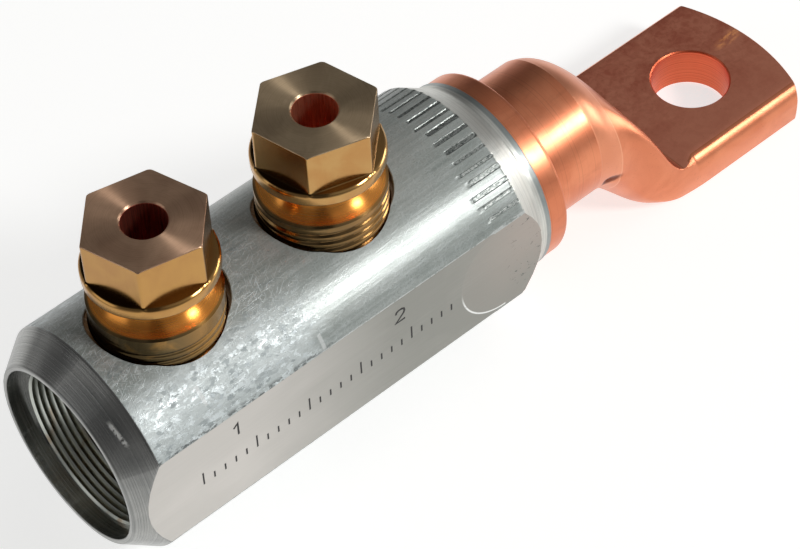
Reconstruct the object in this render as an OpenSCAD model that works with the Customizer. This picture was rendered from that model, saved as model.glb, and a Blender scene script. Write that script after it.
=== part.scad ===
// Bimetal shear bolt lug: an aluminium barrel with two brass shear bolts, welded to a copper palm.
// The origin is the centre of the palm's hole on the contact face under the palm.
// X runs from the mouth towards the palm's end, and Z runs up along the bolts.

/* [Barrel] */
// Outer diameter of the barrel
barrel_d = 38; // [36:0.5:42]
// Length of the barrel from its mouth to the weld
barrel_len = 81; // [78:0.5:90]
// Distance across the two milled flats
flats_w = 33.4; // [32:0.2:36]
// Outer diameter of the mouth's end face
mouth_d = 30.6; // [30:0.1:32]
// Length of the conical mouth
mouth_len = 5; // [3:0.5:7]
// Diameter of the barrel at the weld
weld_d = 33; // [28:0.5:33]
// Length of the straight land beside the weld
weld_land = 1.8; // [1:0.2:3]
// Length of the cone that leads down to the land
weld_cone = 4.2; // [2:0.2:6]
// Length of the jaw marks, which end at that cone
jaw_mark_len = 6.4; // [4:0.2:8]
// Width of a jaw mark
jaw_mark_w = 0.7; // [0.4:0.1:1]
// Depth of a jaw mark
jaw_mark_depth = 0.25; // [0.15:0.05:0.4]
// Angle between the jaw marks round the barrel
jaw_mark_angle = 6; // [5:1:10]

/* [Conductor bore] */
// Diameter of the bore
bore_d = 26; // [22:0.5:27]
// Depth of the bore, measured from the mouth
bore_depth = 64; // [62:0.5:70]
// Distance of the bore's axis below the barrel's axis
bore_drop = 0.9; // [0:0.1:1.2]
// Diameter of the plain lead-in
lead_in_d = 29; // [28:0.1:29.2]
// Length of the plain lead-in
lead_in_len = 3; // [2:0.5:5]

/* [Shear bolts] */
// Distance of the first bolt from the mouth
first_bolt_x = 19; // [17:0.5:21]
// Distance between the bolts
bolt_spacing = 31; // [26:0.5:33]
// Height of the hexagon's top above the barrel's axis
bolt_top = 36.6; // [35:0.1:40]
// Width of the hexagon across its flats
hex_w = 17; // [13:0.5:17]
// Height of the hexagon
hex_h = 7.5; // [6:0.5:10]
// Turn of the first bolt's hexagon
first_hex_turn = 47; // [0:1:60]
// Turn of the second bolt's hexagon
second_hex_turn = 43; // [0:1:60]
// Width of the chamfer on the hexagon's top corners
hex_chamfer = 0.3; // [0.2:0.1:1]
// Diameter of the flange under the hexagon
flange_d = 20.2; // [19:0.2:22]
// Thickness of the flange
flange_t = 2.1; // [1.2:0.1:3]
// Width of the chamfer on the flange's upper edge
flange_chamfer = 0.4; // [0.2:0.1:0.6]
// Diameter of the shear neck, right under the flange
neck_d = 14.4; // [10:0.2:16]
// Diameter of the shear neck's foot, at the top of the thread
neck_foot_d = 19.2; // [17:0.2:20]
// Height of the shear neck
neck_h = 4.7; // [3.5:0.1:6]
// Height over which the neck widens to its foot
neck_flare_h = 2; // [1:0.2:3]
// Diameter of the thread
thread_d = 20; // [18:0.5:20]
// Length of the thread
thread_len = 17.3; // [14:0.1:18.5]
// Pitch of the thread
thread_pitch = 1.5; // [1:0.25:2]
// Depth of the thread's grooves
thread_depth = 0.7; // [0.3:0.1:0.9]
// Diameter of the hole in the bolt's head
head_hole_d = 6.8; // [5:0.2:8]
// Depth of the hole in the bolt's head
head_hole_depth = 12; // [8:0.5:14]
// Width of the chamfer round that hole
head_hole_chamfer = 0.3; // [0.1:0.1:0.5]
// Radial clearance of a bolt in its tapped hole
thread_clearance = 0.05; // [0.03:0.01:0.1]
// Diameter of the recess round a bolt at the barrel's top
recess_d = 21.9; // [21:0.1:23]
// Depth of that recess below the barrel's top
recess_depth = 1.65; // [1:0.05:2.5]

/* [Pressure discs] */
// Diameter of a pressure disc
disc_d = 17; // [12:0.5:18]
// Thickness of a pressure disc
disc_t = 1.6; // [1:0.1:2]
// Diameter of the stem that swivels in the bolt's tip
stem_d = 6; // [4:0.5:7]
// Length of the stem below its bead
stem_len = 1.8; // [1.2:0.1:2.5]
// Height of the bead that holds the stem in the bolt
bead_h = 1.2; // [0.8:0.1:2]
// Width of the bead beyond the stem
bead_w = 0.5; // [0.3:0.1:0.8]
// Clearance round the stem, radially
stem_clearance = 0.05; // [0.02:0.01:0.1]
// Clearance along the axis between a disc and its bolt
disc_gap = 0.1; // [0.05:0.05:0.3]

/* [Copper palm] */
// Diameter of the collar beside the weld
collar_d = 32.6; // [28:0.2:33]
// Length of the collar
collar_len = 3.8; // [2:0.2:6]
// Radius on the collar's edge
collar_edge_r = 0.8; // [0.3:0.1:1.2]
// Diameter of the round neck
copper_neck_d = 24.7; // [23:0.1:26]
// Length of the round neck
copper_neck_len = 11; // [9:0.2:20]
// Length of the forged step, from the neck to the foot of its slope
step_len = 17.4; // [15:0.2:24]
// Width of the palm
palm_w = 28.6; // [27:0.2:30]
// Thickness of the palm
palm_t = 7.4; // [6:0.2:8]
// Radius on the palm's upper long edges
palm_edge_r = 2.6; // [1.6:0.1:3]
// Radius on the upper edges of the step that leads to the palm
step_edge_r = 1; // [0.6:0.1:1.5]
// Radius on the palm's lower long edges
lower_edge_r = 0.8; // [0.4:0.1:1.4]
// How far each side of the palm bulges
side_bulge = 0.4; // [0.1:0.1:1]
// Distance from the foot of the step to the palm hole
foot_to_hole = 15.2; // [14:0.2:20]
// Diameter of the palm hole
hole_d = 13; // [11:0.5:14]
// Chamfer round the top of the palm hole
hole_chamfer = 0.25; // [0.1:0.05:0.6]
// Distance from the palm hole to the palm's end
hole_to_end = 14.4; // [13:0.2:18]
// Radius of the palm's curved end
end_r = 34; // [30:1:60]

/* [Hidden] */
$fn = 96;
// Overlap that keeps a cut or a join clear of coincident faces
over = 1;
// The forged skin starts this much inside the neck, so that their surfaces never coincide
skin_in = 0.05;
// Angle of a drill's tip, from the axis
drill_half_angle = 59;
// Slope of the chamfer on the hexagon's corners
chamfer_angle = 30;
// Small edges on the turned pieces
edge = 0.2;
// Share of the pitch that is flat at the thread's crests and roots
thread_flat = 0.15;
// Quarter of a turn, in degrees
quarter_turn = 90;
// The rounding of the palm's upper edges ends at this angle, in a crease along the top
crease_angle = 60;
// Steps per quarter of the palm's section, and the spacing of its sections
side_steps = 2;
corner_steps = 4;
flat_steps = 4;
quarter_steps = side_steps + corner_steps + flat_steps;
section_gap = 0.6;
// Length past the foot of the step over which the underside squares up
square_up_len = 6;
// Share of the step's drop that is a plain straight slope
plain_slope = 0.27;
// Shares of the step's length: the bend at its crest and the bend at its foot
crest_bend = 0.68;
foot_bend = 0.2;
// Shares of the step's length where the underside swells down, the sides spread and the top squares up
belly_from = 0.1;
belly_to = 0.68;
spread_from = 0.35;
square_from = 0.2;
square_to = 0.75;

barrel_r = barrel_d / 2;
cone_start = barrel_len - weld_land - weld_cone;
// The cylinder's edge at a flat lies this far round from the top
flat_angle = asin(flats_w / barrel_d);
bore_r = bore_d / 2;
copper_neck_r = copper_neck_d / 2;
// The palm's contact face is level with the barrel's lowest line
palm_bottom = -barrel_r;
palm_top = palm_bottom + palm_t;
collar_end = barrel_len + collar_len;
step_start = collar_end + copper_neck_len;
step_end = step_start + step_len;
hole_x = step_end + foot_to_hole;
palm_end = hole_x + hole_to_end;
plate_start = step_end + square_up_len;
flange_bottom = bolt_top - hex_h - flange_t;
thread_top = flange_bottom - neck_h;
tip_z = thread_top - thread_len;
hex_corner_r = hex_w / 2 / cos(30);

function mix(a, b, w) = a + (b - a) * w;
function unit(v, low, high) = min(1, max(0, (v - low) / (high - low)));
function smooth(u) = u * u * (3 - 2 * u);
// A straight ramp from 0 to 1 with a bend at each end, mixed with a plain slope
function bent_ramp(u) = let (slope = 2 / (2 - crest_bend - foot_bend)) (
    u < crest_bend ? slope * u * u / (2 * crest_bend)
    : u < 1 - foot_bend ? slope * (u - crest_bend / 2)
    : 1 - slope * pow(1 - u, 2) / (2 * foot_bend)
);
function ramp(u) = mix(bent_ramp(u), u, plain_slope);

// Moves a piece from the barrel's own axes, with the mouth at x = 0, to the lug's origin
module place() {
    translate([-hole_x, 0, barrel_r]) children();
}

// Turns a profile of [radius, length] points round the X axis
module lathe(profile) {
    rotate([0, 90, 0]) rotate_extrude() polygon(profile);
}

module at_bolt(index) {
    translate([first_bolt_x + index * bolt_spacing, 0, 0]) children();
}

module barrel_blank() {
    lathe([
        [0, 0], [mouth_d / 2, 0], [barrel_r, mouth_len], [barrel_r, cone_start],
        [weld_d / 2, cone_start + weld_cone], [weld_d / 2, barrel_len], [0, barrel_len]
    ]);
}

module conductor_bore() {
    tip = bore_r / tan(drill_half_angle);
    translate([0, 0, -bore_drop]) lathe([
        [0, -over], [bore_r, -over], [bore_r, bore_depth - tip], [0, bore_depth]
    ]);
    lathe([[0, -over], [lead_in_d / 2, -over], [lead_in_d / 2, lead_in_len], [0, lead_in_len]]);
}

module bolt_port() {
    cylinder(r = thread_d / 2 + thread_clearance, h = barrel_r + over);
    translate([0, 0, barrel_r - recess_depth]) cylinder(d = recess_d, h = recess_depth + over);
}

// Shallow marks that the welder's jaws leave on the round top and underside
module jaw_marks() {
    last = floor(flat_angle / jaw_mark_angle);
    for (side = [0, 180], i = [-last:last]) rotate([side + i * jaw_mark_angle, 0, 0])
        translate([cone_start - jaw_mark_len, -jaw_mark_w / 2, barrel_r - jaw_mark_depth])
            cube([jaw_mark_len + over, jaw_mark_w, jaw_mark_depth + over]);
}

module barrel() {
    color([0.73, 0.75, 0.74]) place() difference() {
        intersection() {
            barrel_blank();
            translate([-over, -flats_w / 2, -barrel_d])
                cube([barrel_len + 2 * over, flats_w, 2 * barrel_d]);
        }
        jaw_marks();
        conductor_bore();
        for (index = [0, 1]) at_bolt(index) bolt_port();
    }
}

// Ring-shaped grooves that stand for the thread, between the tip and the thread's upper chamfer
function thread_profile() = let (
    crest = thread_d / 2,
    root = crest - thread_depth,
    turns = floor(thread_len / thread_pitch) - 1
) [
    for (i = [0:turns - 1], step = [0, thread_flat, 1 / 2, 1 / 2 + thread_flat])
        [step < 1 / 2 ? root : crest, tip_z + thread_pitch * (i + 1 / 2 + step)]
];

module bolt_body() {
    root = thread_d / 2 - thread_depth;
    rotate_extrude() polygon(concat(
        [[0, tip_z], [root, tip_z]],
        thread_profile(),
        [
            [root, thread_top - edge], [neck_foot_d / 2, thread_top],
            [neck_d / 2, thread_top + neck_flare_h], [neck_d / 2, flange_bottom],
            [flange_d / 2 - edge, flange_bottom], [flange_d / 2, flange_bottom + edge],
            [flange_d / 2, flange_bottom + flange_t - flange_chamfer],
            [flange_d / 2 - flange_chamfer, flange_bottom + flange_t], [0, flange_bottom + flange_t]
        ]
    ));
}

module hexagon() {
    intersection() {
        translate([0, 0, bolt_top - hex_h - over]) cylinder(r = hex_corner_r, h = hex_h + over, $fn = 6);
        rotate_extrude() polygon([
            [0, bolt_top - hex_h - over], [hex_corner_r + over, bolt_top - hex_h - over],
            [hex_corner_r + over, bolt_top - (hex_chamfer + over) * tan(chamfer_angle)],
            [hex_corner_r - hex_chamfer, bolt_top], [0, bolt_top]
        ]);
    }
}

module head_hole() {
    r = head_hole_d / 2;
    bottom = bolt_top - head_hole_depth;
    rotate_extrude() polygon([
        [0, bottom - r / tan(drill_half_angle)], [r, bottom], [r, bolt_top - head_hole_chamfer],
        [r + head_hole_chamfer + over, bolt_top + over], [0, bolt_top + over]
    ]);
}

// Socket in the bolt's tip: a plain mouth, then an undercut that holds the stem's bead
module tip_socket() {
    mouth_r = stem_d / 2 + stem_clearance;
    undercut_r = stem_d / 2 + bead_w + 2 * stem_clearance;
    mouth_top = tip_z + stem_len - 2 * disc_gap;
    rotate_extrude() polygon([
        [0, tip_z - over], [mouth_r, tip_z - over], [mouth_r, mouth_top], [undercut_r, mouth_top],
        [undercut_r, mouth_top + bead_h + 2 * disc_gap], [0, mouth_top + bead_h + 2 * disc_gap]
    ]);
}

module shear_bolt(index, hex_turn) {
    color([0.72, 0.53, 0.24]) place() at_bolt(index) difference() {
        union() {
            bolt_body();
            rotate(hex_turn) hexagon();
        }
        head_hole();
        tip_socket();
    }
}

module pressure_disc(index) {
    top = tip_z - disc_gap;
    bead_z = top + stem_len;
    color([0.70, 0.55, 0.30]) place() at_bolt(index) rotate_extrude() polygon([
        [0, top - disc_t], [disc_d / 2 - edge, top - disc_t], [disc_d / 2, top - disc_t + edge],
        [disc_d / 2, top], [stem_d / 2, top], [stem_d / 2, bead_z], [stem_d / 2 + bead_w, bead_z],
        [stem_d / 2 + bead_w, bead_z + bead_h], [0, bead_z + bead_h]
    ]);
}

// One quarter of a section, from the middle of its side to the middle of its top
function round_quarter(a, h) = [
    for (i = [0:quarter_steps]) let (t = quarter_turn * i / quarter_steps) [a * cos(t), h * sin(t)]
];
function box_side(a, h, z) = a - side_bulge * pow(z / h, 2);
// Its edge of radius r turns through the angle sweep, and meets the flat there
function box_quarter(a, h, r, sweep) = let (
    low = h - r * sin(sweep),
    inner = box_side(a, h, low) - r,
    flat = inner + r * cos(sweep)
) [
    for (i = [0:side_steps]) let (z = low * i / side_steps) [box_side(a, h, z), z],
    for (i = [1:corner_steps]) let (t = sweep * i / corner_steps) [inner + r * cos(t), low + r * sin(t)],
    for (i = [1:flat_steps]) [flat * (1 - i / flat_steps), h]
];
function upper_quarter(a, h, squareness, r) = let (p = round_quarter(a, h), q = box_quarter(a, h, r, crease_angle)) [
    for (i = [0:quarter_steps]) mix(p[i], q[i], squareness)
];
function lower_quarter(a, h, squareness) = let (
    p = round_quarter(a, h),
    q = box_quarter(a, h, lower_edge_r, quarter_turn)
) [
    for (i = [0:quarter_steps]) mix(p[i], q[i], squareness)
];
// A whole section as [y, z] points, from its upper and lower quarters
function section(upper, lower, mid) = [
    for (i = [0:quarter_steps - 1]) [upper[i].x, mid + upper[i].y],
    for (i = [quarter_steps:-1:1]) [-upper[i].x, mid + upper[i].y],
    for (i = [0:quarter_steps - 1]) [-lower[i].x, mid - lower[i].y],
    for (i = [quarter_steps:-1:1]) [lower[i].x, mid - lower[i].y]
];
function palm_section() = section(
    upper_quarter(palm_w / 2, palm_t / 2, 1, palm_edge_r),
    lower_quarter(palm_w / 2, palm_t / 2, 1),
    palm_bottom + palm_t / 2
);

// The forged step's section at x: the round neck is pressed down and out into the palm
function step_section(x) = let (
    u = unit(x, step_start, step_end),
    skin_r = copper_neck_r - skin_in,
    top = mix(skin_r, palm_top, ramp(u)),
    bottom = mix(-skin_r, palm_bottom, smooth(unit(u, belly_from, belly_to))),
    mid = (top + bottom) / 2,
    a = mix(skin_r, palm_w / 2, smooth(unit(u, spread_from, 1))),
    edge_r = mix(step_edge_r, palm_edge_r, smooth(unit(x, step_end, plate_start))),
    upper = upper_quarter(a, top - mid, smooth(unit(u, square_from, square_to)), edge_r),
    lower = lower_quarter(a, mid - bottom, smooth(unit(x, step_start, plate_start)))
) section(upper, lower, mid);

module forged_step() {
    first = step_start - over;
    rings = ceil((plate_start - first) / section_gap);
    count = 4 * quarter_steps;
    points = [
        for (k = [0:rings]) let (x = mix(first, plate_start, k / rings))
            for (p = k == rings ? palm_section() : step_section(x)) [x, p.x, p.y]
    ];
    sides = [
        for (k = [0:rings - 1]) for (i = [0:count - 1]) let (j = (i + 1) % count)
            [k * count + i, (k + 1) * count + i, (k + 1) * count + j, k * count + j]
    ];
    first_cap = [for (i = [0:count - 1]) i];
    last_cap = [for (i = [count - 1:-1:0]) rings * count + i];
    polyhedron(points, concat(sides, [first_cap, last_cap]));
}

module palm_plate() {
    intersection() {
        translate([plate_start, 0, 0]) rotate([90, 0, 90])
            linear_extrude(palm_end - plate_start + over) polygon(palm_section());
        translate([palm_end - end_r, 0, palm_bottom - over])
            cylinder(r = end_r, h = palm_t + 2 * over, $fn = 180);
    }
}

module copper_bar() {
    weld_r = collar_d / 2;
    rounding = [for (i = [0:corner_steps]) let (t = quarter_turn * i / corner_steps) [
        weld_r - collar_edge_r * (1 - cos(t)), collar_end - collar_edge_r * (1 - sin(t))
    ]];
    lathe(concat(
        [[0, barrel_len], [weld_r, barrel_len]], rounding,
        [[copper_neck_r, collar_end], [copper_neck_r, step_start], [0, step_start]]
    ));
}

module palm_hole() {
    r = hole_d / 2;
    translate([hole_x, 0, 0]) rotate_extrude() polygon([
        [0, palm_bottom - over], [r, palm_bottom - over], [r, palm_top - hole_chamfer],
        [r + hole_chamfer + over, palm_top + over], [0, palm_top + over]
    ]);
}

module palm() {
    color([0.78, 0.44, 0.30]) place() difference() {
        union() {
            copper_bar();
            forged_step();
            palm_plate();
        }
        palm_hole();
    }
}

barrel();
palm();
shear_bolt(0, first_hex_turn);  // shear_bolt_1
shear_bolt(1, second_hex_turn);  // shear_bolt_2
pressure_disc(0);  // pressure_disc_1
pressure_disc(1);  // pressure_disc_2
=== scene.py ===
# Looks of a shear bolt lug: aluminium barrel, forged copper palm, brass shear bolts with their pressure discs
import math
import random

import bmesh
import bpy
import numpy as np
from mathutils import Matrix, Vector


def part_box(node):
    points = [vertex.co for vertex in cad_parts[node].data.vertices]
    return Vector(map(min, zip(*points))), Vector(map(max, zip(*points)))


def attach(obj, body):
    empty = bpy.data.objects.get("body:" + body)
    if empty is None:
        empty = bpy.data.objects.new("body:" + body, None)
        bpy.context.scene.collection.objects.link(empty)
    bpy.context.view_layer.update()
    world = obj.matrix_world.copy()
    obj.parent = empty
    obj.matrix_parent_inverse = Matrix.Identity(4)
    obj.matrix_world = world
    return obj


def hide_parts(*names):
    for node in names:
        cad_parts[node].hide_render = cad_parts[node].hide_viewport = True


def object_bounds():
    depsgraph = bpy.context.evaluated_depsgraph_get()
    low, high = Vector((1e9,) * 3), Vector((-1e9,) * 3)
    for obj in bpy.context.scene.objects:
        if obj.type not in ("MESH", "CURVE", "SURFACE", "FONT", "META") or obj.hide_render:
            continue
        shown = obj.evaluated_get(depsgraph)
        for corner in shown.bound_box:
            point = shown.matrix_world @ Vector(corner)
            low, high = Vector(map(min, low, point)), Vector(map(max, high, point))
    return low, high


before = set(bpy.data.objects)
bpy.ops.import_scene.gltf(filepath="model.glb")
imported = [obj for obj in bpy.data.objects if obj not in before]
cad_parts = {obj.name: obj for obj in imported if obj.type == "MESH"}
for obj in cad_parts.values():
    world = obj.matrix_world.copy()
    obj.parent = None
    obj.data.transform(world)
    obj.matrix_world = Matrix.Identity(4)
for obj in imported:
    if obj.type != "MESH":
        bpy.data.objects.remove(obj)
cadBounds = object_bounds()
mm = 0.001
barrelLow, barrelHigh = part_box("barrel")
palmLow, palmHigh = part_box("palm")
mouth = Vector((barrelLow.x, 0, (barrelLow.z + barrelHigh.z) / 2))  # the pieces' own millimetres start here
barrelRadius = (barrelHigh.z - barrelLow.z) / 2 / mm
flatHalf = barrelHigh.y / mm
barrelLength = (barrelHigh.x - barrelLow.x) / mm
palmEnd = (palmHigh.x - mouth.x) / mm
palmBottom = (palmLow.z - mouth.z) / mm
holeAlong = -mouth.x / mm  # the frame's origin is the palm hole
boltBoxes = [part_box("shear_bolt_%d" % number) for number in (1, 2)]
boltAlong = [((low.x + high.x) / 2 - mouth.x) / mm for low, high in boltBoxes]
boltTip, boltTop = [(corner.z - mouth.z) / mm for corner in boltBoxes[-1]]  # both bolts stand equally high
print("frame loaded: %d nodes, bolts at %.1f and %.1f mm" % (len(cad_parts), *boltAlong))


# Shapes are rows of points round an axis
def unit(value, low, high):
    return np.clip((value - low) / (high - low), 0, 1)


def smooth(share):
    return share * share * (3 - 2 * share)


def mix(first, second, share):
    return first + (second - first) * share


def profileRows(corners, steps=3, most=0.45):
    # each corner is (along, radius, rounding); along and radius may change from column to column,
    # and a rounding takes at most its share of the side next to it
    width = max(np.size(value) for corner in corners for value in corner[:2])
    points = [np.stack([np.broadcast_to(value, width) for value in corner[:2]], -1) for corner in corners]
    rows = [points[0]]
    for before, here, after, corner in zip(points, points[1:], points[2:], corners[1:]):
        rounding = corner[2]
        if rounding == 0:
            rows.append(here)
            continue
        back = before - here
        ahead = after - here
        backLength = np.linalg.norm(back, axis=1, keepdims=True)
        aheadLength = np.linalg.norm(ahead, axis=1, keepdims=True)
        start = here + back * np.minimum(rounding / backLength, most)
        end = here + ahead * np.minimum(rounding / aheadLength, most)
        for share in np.linspace(0, 1, steps + 1):
            rows.append((1 - share) ** 2 * start + 2 * share * (1 - share) * here + share ** 2 * end)
    rows.append(points[-1])
    return np.array(rows)


def tubeFaces(rows, columns, closeStart=None, closeEnd=None):
    # quads between neighbouring rings, and fans to a middle point at the ends
    ring = np.arange(rows * columns).reshape(rows, columns)
    beside = np.roll(ring, -1, axis=1)
    faces = np.stack([ring[:-1], beside[:-1], beside[1:], ring[1:]], -1).reshape(-1, 4).tolist()
    if closeStart is not None:
        faces += [[closeStart, b, a] for a, b in zip(ring[0].tolist(), beside[0].tolist())]
    if closeEnd is not None:
        faces += [[closeEnd, a, b] for a, b in zip(ring[-1].tolist(), beside[-1].tolist())]
    return faces


def closedTube(rings, first, last):
    # rings of points, drawn together to a middle point at each end
    rows, columns = rings.shape[:2]
    count = rows * columns
    points = np.concatenate([rings.reshape(-1, 3), [first, last]])
    return points, tubeFaces(rows, columns, count, count + 1)


def uprightTurned(rows, turn, along, first, last):
    # rows of (height, radius) turned about an upright axis that starts and ends at two heights
    rows = np.broadcast_to(rows, (len(rows), len(turn), 2))
    radius = rows[:, :, 1]
    rings = np.stack([along + radius * np.cos(turn), radius * np.sin(turn), rows[:, :, 0]], -1)
    return closedTube(rings, (along, 0, first), (along, 0, last))


def makePiece(name, points, faces):
    mesh = bpy.data.meshes.new(name)
    placed = np.asarray(points, float) * mm + np.array(mouth)
    mesh.from_pydata(placed.tolist(), [], faces)
    work = bmesh.new()
    work.from_mesh(mesh)
    bmesh.ops.recalc_face_normals(work, faces=work.faces)
    work.to_mesh(mesh)
    work.free()
    piece = bpy.data.objects.new(name, mesh)
    bpy.context.scene.collection.objects.link(piece)
    return piece


def cutAway(piece, cutters):
    # cuts the cutters out of the piece and keeps the result as its mesh
    for cutter in cutters:
        cut = piece.modifiers.new("cut", "BOOLEAN")
        cut.operation = "DIFFERENCE"
        cut.solver = "MANIFOLD"
        cut.object = cutter
    seen = piece.evaluated_get(bpy.context.evaluated_depsgraph_get())
    piece.modifiers.clear()
    result = bpy.data.meshes.new_from_object(seen)
    result.name = piece.data.name
    piece.data = result
    for cutter in cutters:
        bpy.data.objects.remove(cutter)


def dress(piece, body, node, finishes, chooser=None, sharpAngle=32):
    # chooser gives every face the place of its finish in the list, from the faces' middles and normals
    mesh = piece.data
    mesh.materials.clear()
    for finish in finishes:
        mesh.materials.append(finish)
    count = len(mesh.polygons)
    if chooser:
        centres = np.empty(count * 3)
        normals = np.empty(count * 3)
        mesh.polygons.foreach_get("center", centres)
        mesh.polygons.foreach_get("normal", normals)
        centres = (centres.reshape(-1, 3) - np.array(mouth)) / mm
        places = chooser(centres, normals.reshape(-1, 3))
        mesh.polygons.foreach_set("material_index", places.astype(np.int32))
    mesh.polygons.foreach_set("use_smooth", np.ones(count, bool))
    mesh.set_sharp_from_angle(angle=math.radians(sharpAngle))
    mesh.update()
    even = piece.modifiers.new("even shading", "WEIGHTED_NORMAL")
    even.keep_sharp = True
    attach(piece, body)
    if node:
        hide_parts(node)
    print("%s: %d faces" % (piece.name, count))


# A socket that takes part in sums, and the one method that adds nodes
class Wire:
    def __init__(self, finish, socket):
        self.finish = finish
        self.socket = socket

    def maths(self, operation, *terms):
        return self.finish.node("Math", {"operation": operation}, dict(enumerate(terms)))

    def __add__(self, other):
        return self.maths("ADD", self, other)

    def __sub__(self, other):
        return self.maths("SUBTRACT", self, other)

    def __rsub__(self, other):
        return self.maths("SUBTRACT", other, self)

    def __mul__(self, other):
        return self.maths("MULTIPLY", self, other)

    def __truediv__(self, other):
        return self.maths("DIVIDE", self, other)

    def __rtruediv__(self, other):
        return self.maths("DIVIDE", other, self)

    def __pow__(self, other):
        return self.maths("POWER", self, other)

    def __rpow__(self, other):
        return self.maths("POWER", other, self)

    def __abs__(self):
        return self.maths("ABSOLUTE", self)

    def __lt__(self, other):
        return self.maths("LESS_THAN", self, other)

    def __gt__(self, other):
        return self.maths("GREATER_THAN", self, other)

    def __or__(self, other):
        return self.maths("MAXIMUM", self, other)

    __radd__ = __add__
    __rmul__ = __mul__
    __ror__ = __or__

    def between(self, low, high):
        # 0 below low, 1 above high, eased; low may be the larger
        eased = {"interpolation_type": "SMOOTHSTEP"}
        return self.finish.node("MapRange", eased, {0: self, 1: low, 2: high})


def tone(red, green, blue):
    # a colour as it is read off a screen, 0 to 255
    channels = [value / 255 for value in (red, green, blue)]
    linear = [value / 12.92 if value <= 0.04045 else ((value + 0.055) / 1.055) ** 2.4 for value in channels]
    return (*linear, 1)


class Finish:
    def __init__(self, owner, tree):
        self.owner = owner
        self.tree = tree
        self.tree.nodes.clear()

    def node(self, kind, settings=None, sockets=None, out=0):
        made = self.tree.nodes.new("ShaderNode" + kind)
        for key, value in (settings or {}).items():
            setattr(made, key, value)
        for key, value in (sockets or {}).items():
            if isinstance(value, Wire):
                self.tree.links.new(value.socket, made.inputs[key])
            else:
                made.inputs[key].default_value = value
        return Wire(self, made.outputs[out]) if made.outputs else None

    def vector(self, operation, *terms, out=0):
        return self.node("VectorMath", {"operation": operation}, dict(enumerate(terms)), out)

    def place(self, along=0):
        # millimetres from the middle of the mouth, or from a point further along the barrel's axis
        origin = mouth + Vector((along, 0, 0)) * mm
        here = self.vector("SUBTRACT", self.node("TexCoord", out="Object"), tuple(origin))
        return self.node("VectorMath", {"operation": "SCALE"}, {0: here, "Scale": 1 / mm})

    def split(self, vector):
        made = self.node("SeparateXYZ", sockets={0: vector})
        outputs = made.socket.node.outputs
        return [Wire(self, outputs[index]) for index in range(3)]

    def join(self, x, y, z):
        return self.node("CombineXYZ", sockets={0: x, 1: y, 2: z})

    def length(self, x, y, z):
        return self.vector("LENGTH", self.join(x, y, z), out="Value")

    def noise(self, where, scale, detail=2, roughness=0.5, distortion=0, shift=0):
        # scale is in waves per millimetre, one number or one for each axis
        stretch = scale if isinstance(scale, tuple) else (scale,) * 3
        spot = self.vector("MULTIPLY_ADD", where, stretch, (shift, shift * 0.7, shift * 1.3))
        return self.node("TexNoise", sockets={
            "Vector": spot, "Scale": 1, "Detail": detail, "Roughness": roughness, "Distortion": distortion})

    def lines(self, value, scale, detail):
        # fine lines across one measure, such as a lathe leaves
        return self.node("TexNoise", {"noise_dimensions": "1D"}, {
            "W": value * scale, "Scale": 1, "Detail": detail, "Roughness": 0.6})

    def scratches(self, along, across, degrees, length, width, shift):
        # short fine lines at an angle to the first measure
        turn = math.radians(degrees)
        ahead = along * math.cos(turn) + across * math.sin(turn)
        aside = across * math.cos(turn) - along * math.sin(turn)
        spot = self.join(ahead / length + shift, aside / width, shift)
        return self.node("TexNoise", sockets={"Vector": spot, "Scale": 1, "Detail": 1, "Roughness": 0.5})

    def blend(self, share, first, second):
        return self.node("Mix", {"data_type": "RGBA"}, {0: share, 6: first, 7: second}, out=2)

    def bump(self, height, depth, strength):
        # depth is what a height of 1 stands for, in millimetres
        return self.node("Bump", sockets={"Strength": strength, "Distance": depth * mm, "Height": height})

    def metal(self, colour, roughness, normal, metallic=1, turned=0):
        # turned is how much the lathe's rings stretch the gloss across them
        sockets = {"Base Color": colour, "Roughness": roughness, "Metallic": metallic, "Normal": normal}
        if turned:
            sockets["Anisotropic"] = turned
            sockets["Anisotropic Rotation"] = 0.25  # a quarter turn, from along the rings to across them
        shader = self.node("BsdfPrincipled", sockets=sockets)
        self.node("OutputMaterial", sockets={"Surface": shader})
        return self.owner


def startFinish(name):
    material = bpy.data.materials.new(name)
    material.use_nodes = True
    return Finish(material, material.node_tree)


# Barrel
barrelSizes = {  # millimetres and degrees, as in all the dictionaries of the pieces
    "mouthLength": 5.0, "mouthRadius": 15.3, "weldRadius": 16.5, "weldLand": 1.8, "weldCone": 4.2,
    "leadRadius": 14.5, "leadLength": 3.0, "boreRadius": 13.0, "boreDepth": 64.0, "boreDrop": 0.9,
    "drillAngle": 59, "drillBack": 0.3, "boreEdge": 0.3,
    "ridgePitch": 1.07, "ridgeDepth": 0.24, "ridgeRows": 3, "ridgeLead": 0.35, "ridgeShape": 0.7,
    "leadEdge": 0.18, "mouthEdge": 0.22, "coneEdge": 0.3, "weldEdge": 0.28, "landEdge": 0.3, "endEdge": 0.15,
    "endFace": 1.5, "coneLead": 0.55, "coneGap": 0.25,
    "portRadius": 10.05, "recessRadius": 10.95, "recessDepth": 1.65, "portEdge": 0.14, "portColumns": 144,
    "recessLeast": 0.02, "plugRise": 3.0,
    "flatEdge": 0.28, "flatColumns": 8, "flatMargin": 0.3, "columnGap": 1.3, "columnLeast": 0.1,
    "plainRows": (8.0, 65.0, 2.0), "markedRows": (66.6, 74.4, 0.4),
    "jawStart": 68.7, "jawEase": (0.5, 0.4), "jawAngle": 6.1, "jawHalf": 1.15, "jawDepth": 0.13,
    "jawFloor": 0.72, "jawBurr": 0.03, "burrFrom": 0.95, "burrPeak": 1.2, "burrTo": 1.5, "jawSeed": 11,
    "strayAngle": (-0.5, 0.5), "strayHalf": (0.75, 1.25), "strayDepth": (0.55, 1.1),
    "strayStart": (-0.6, 0.9), "roundSlack": 0.02,
}


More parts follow.
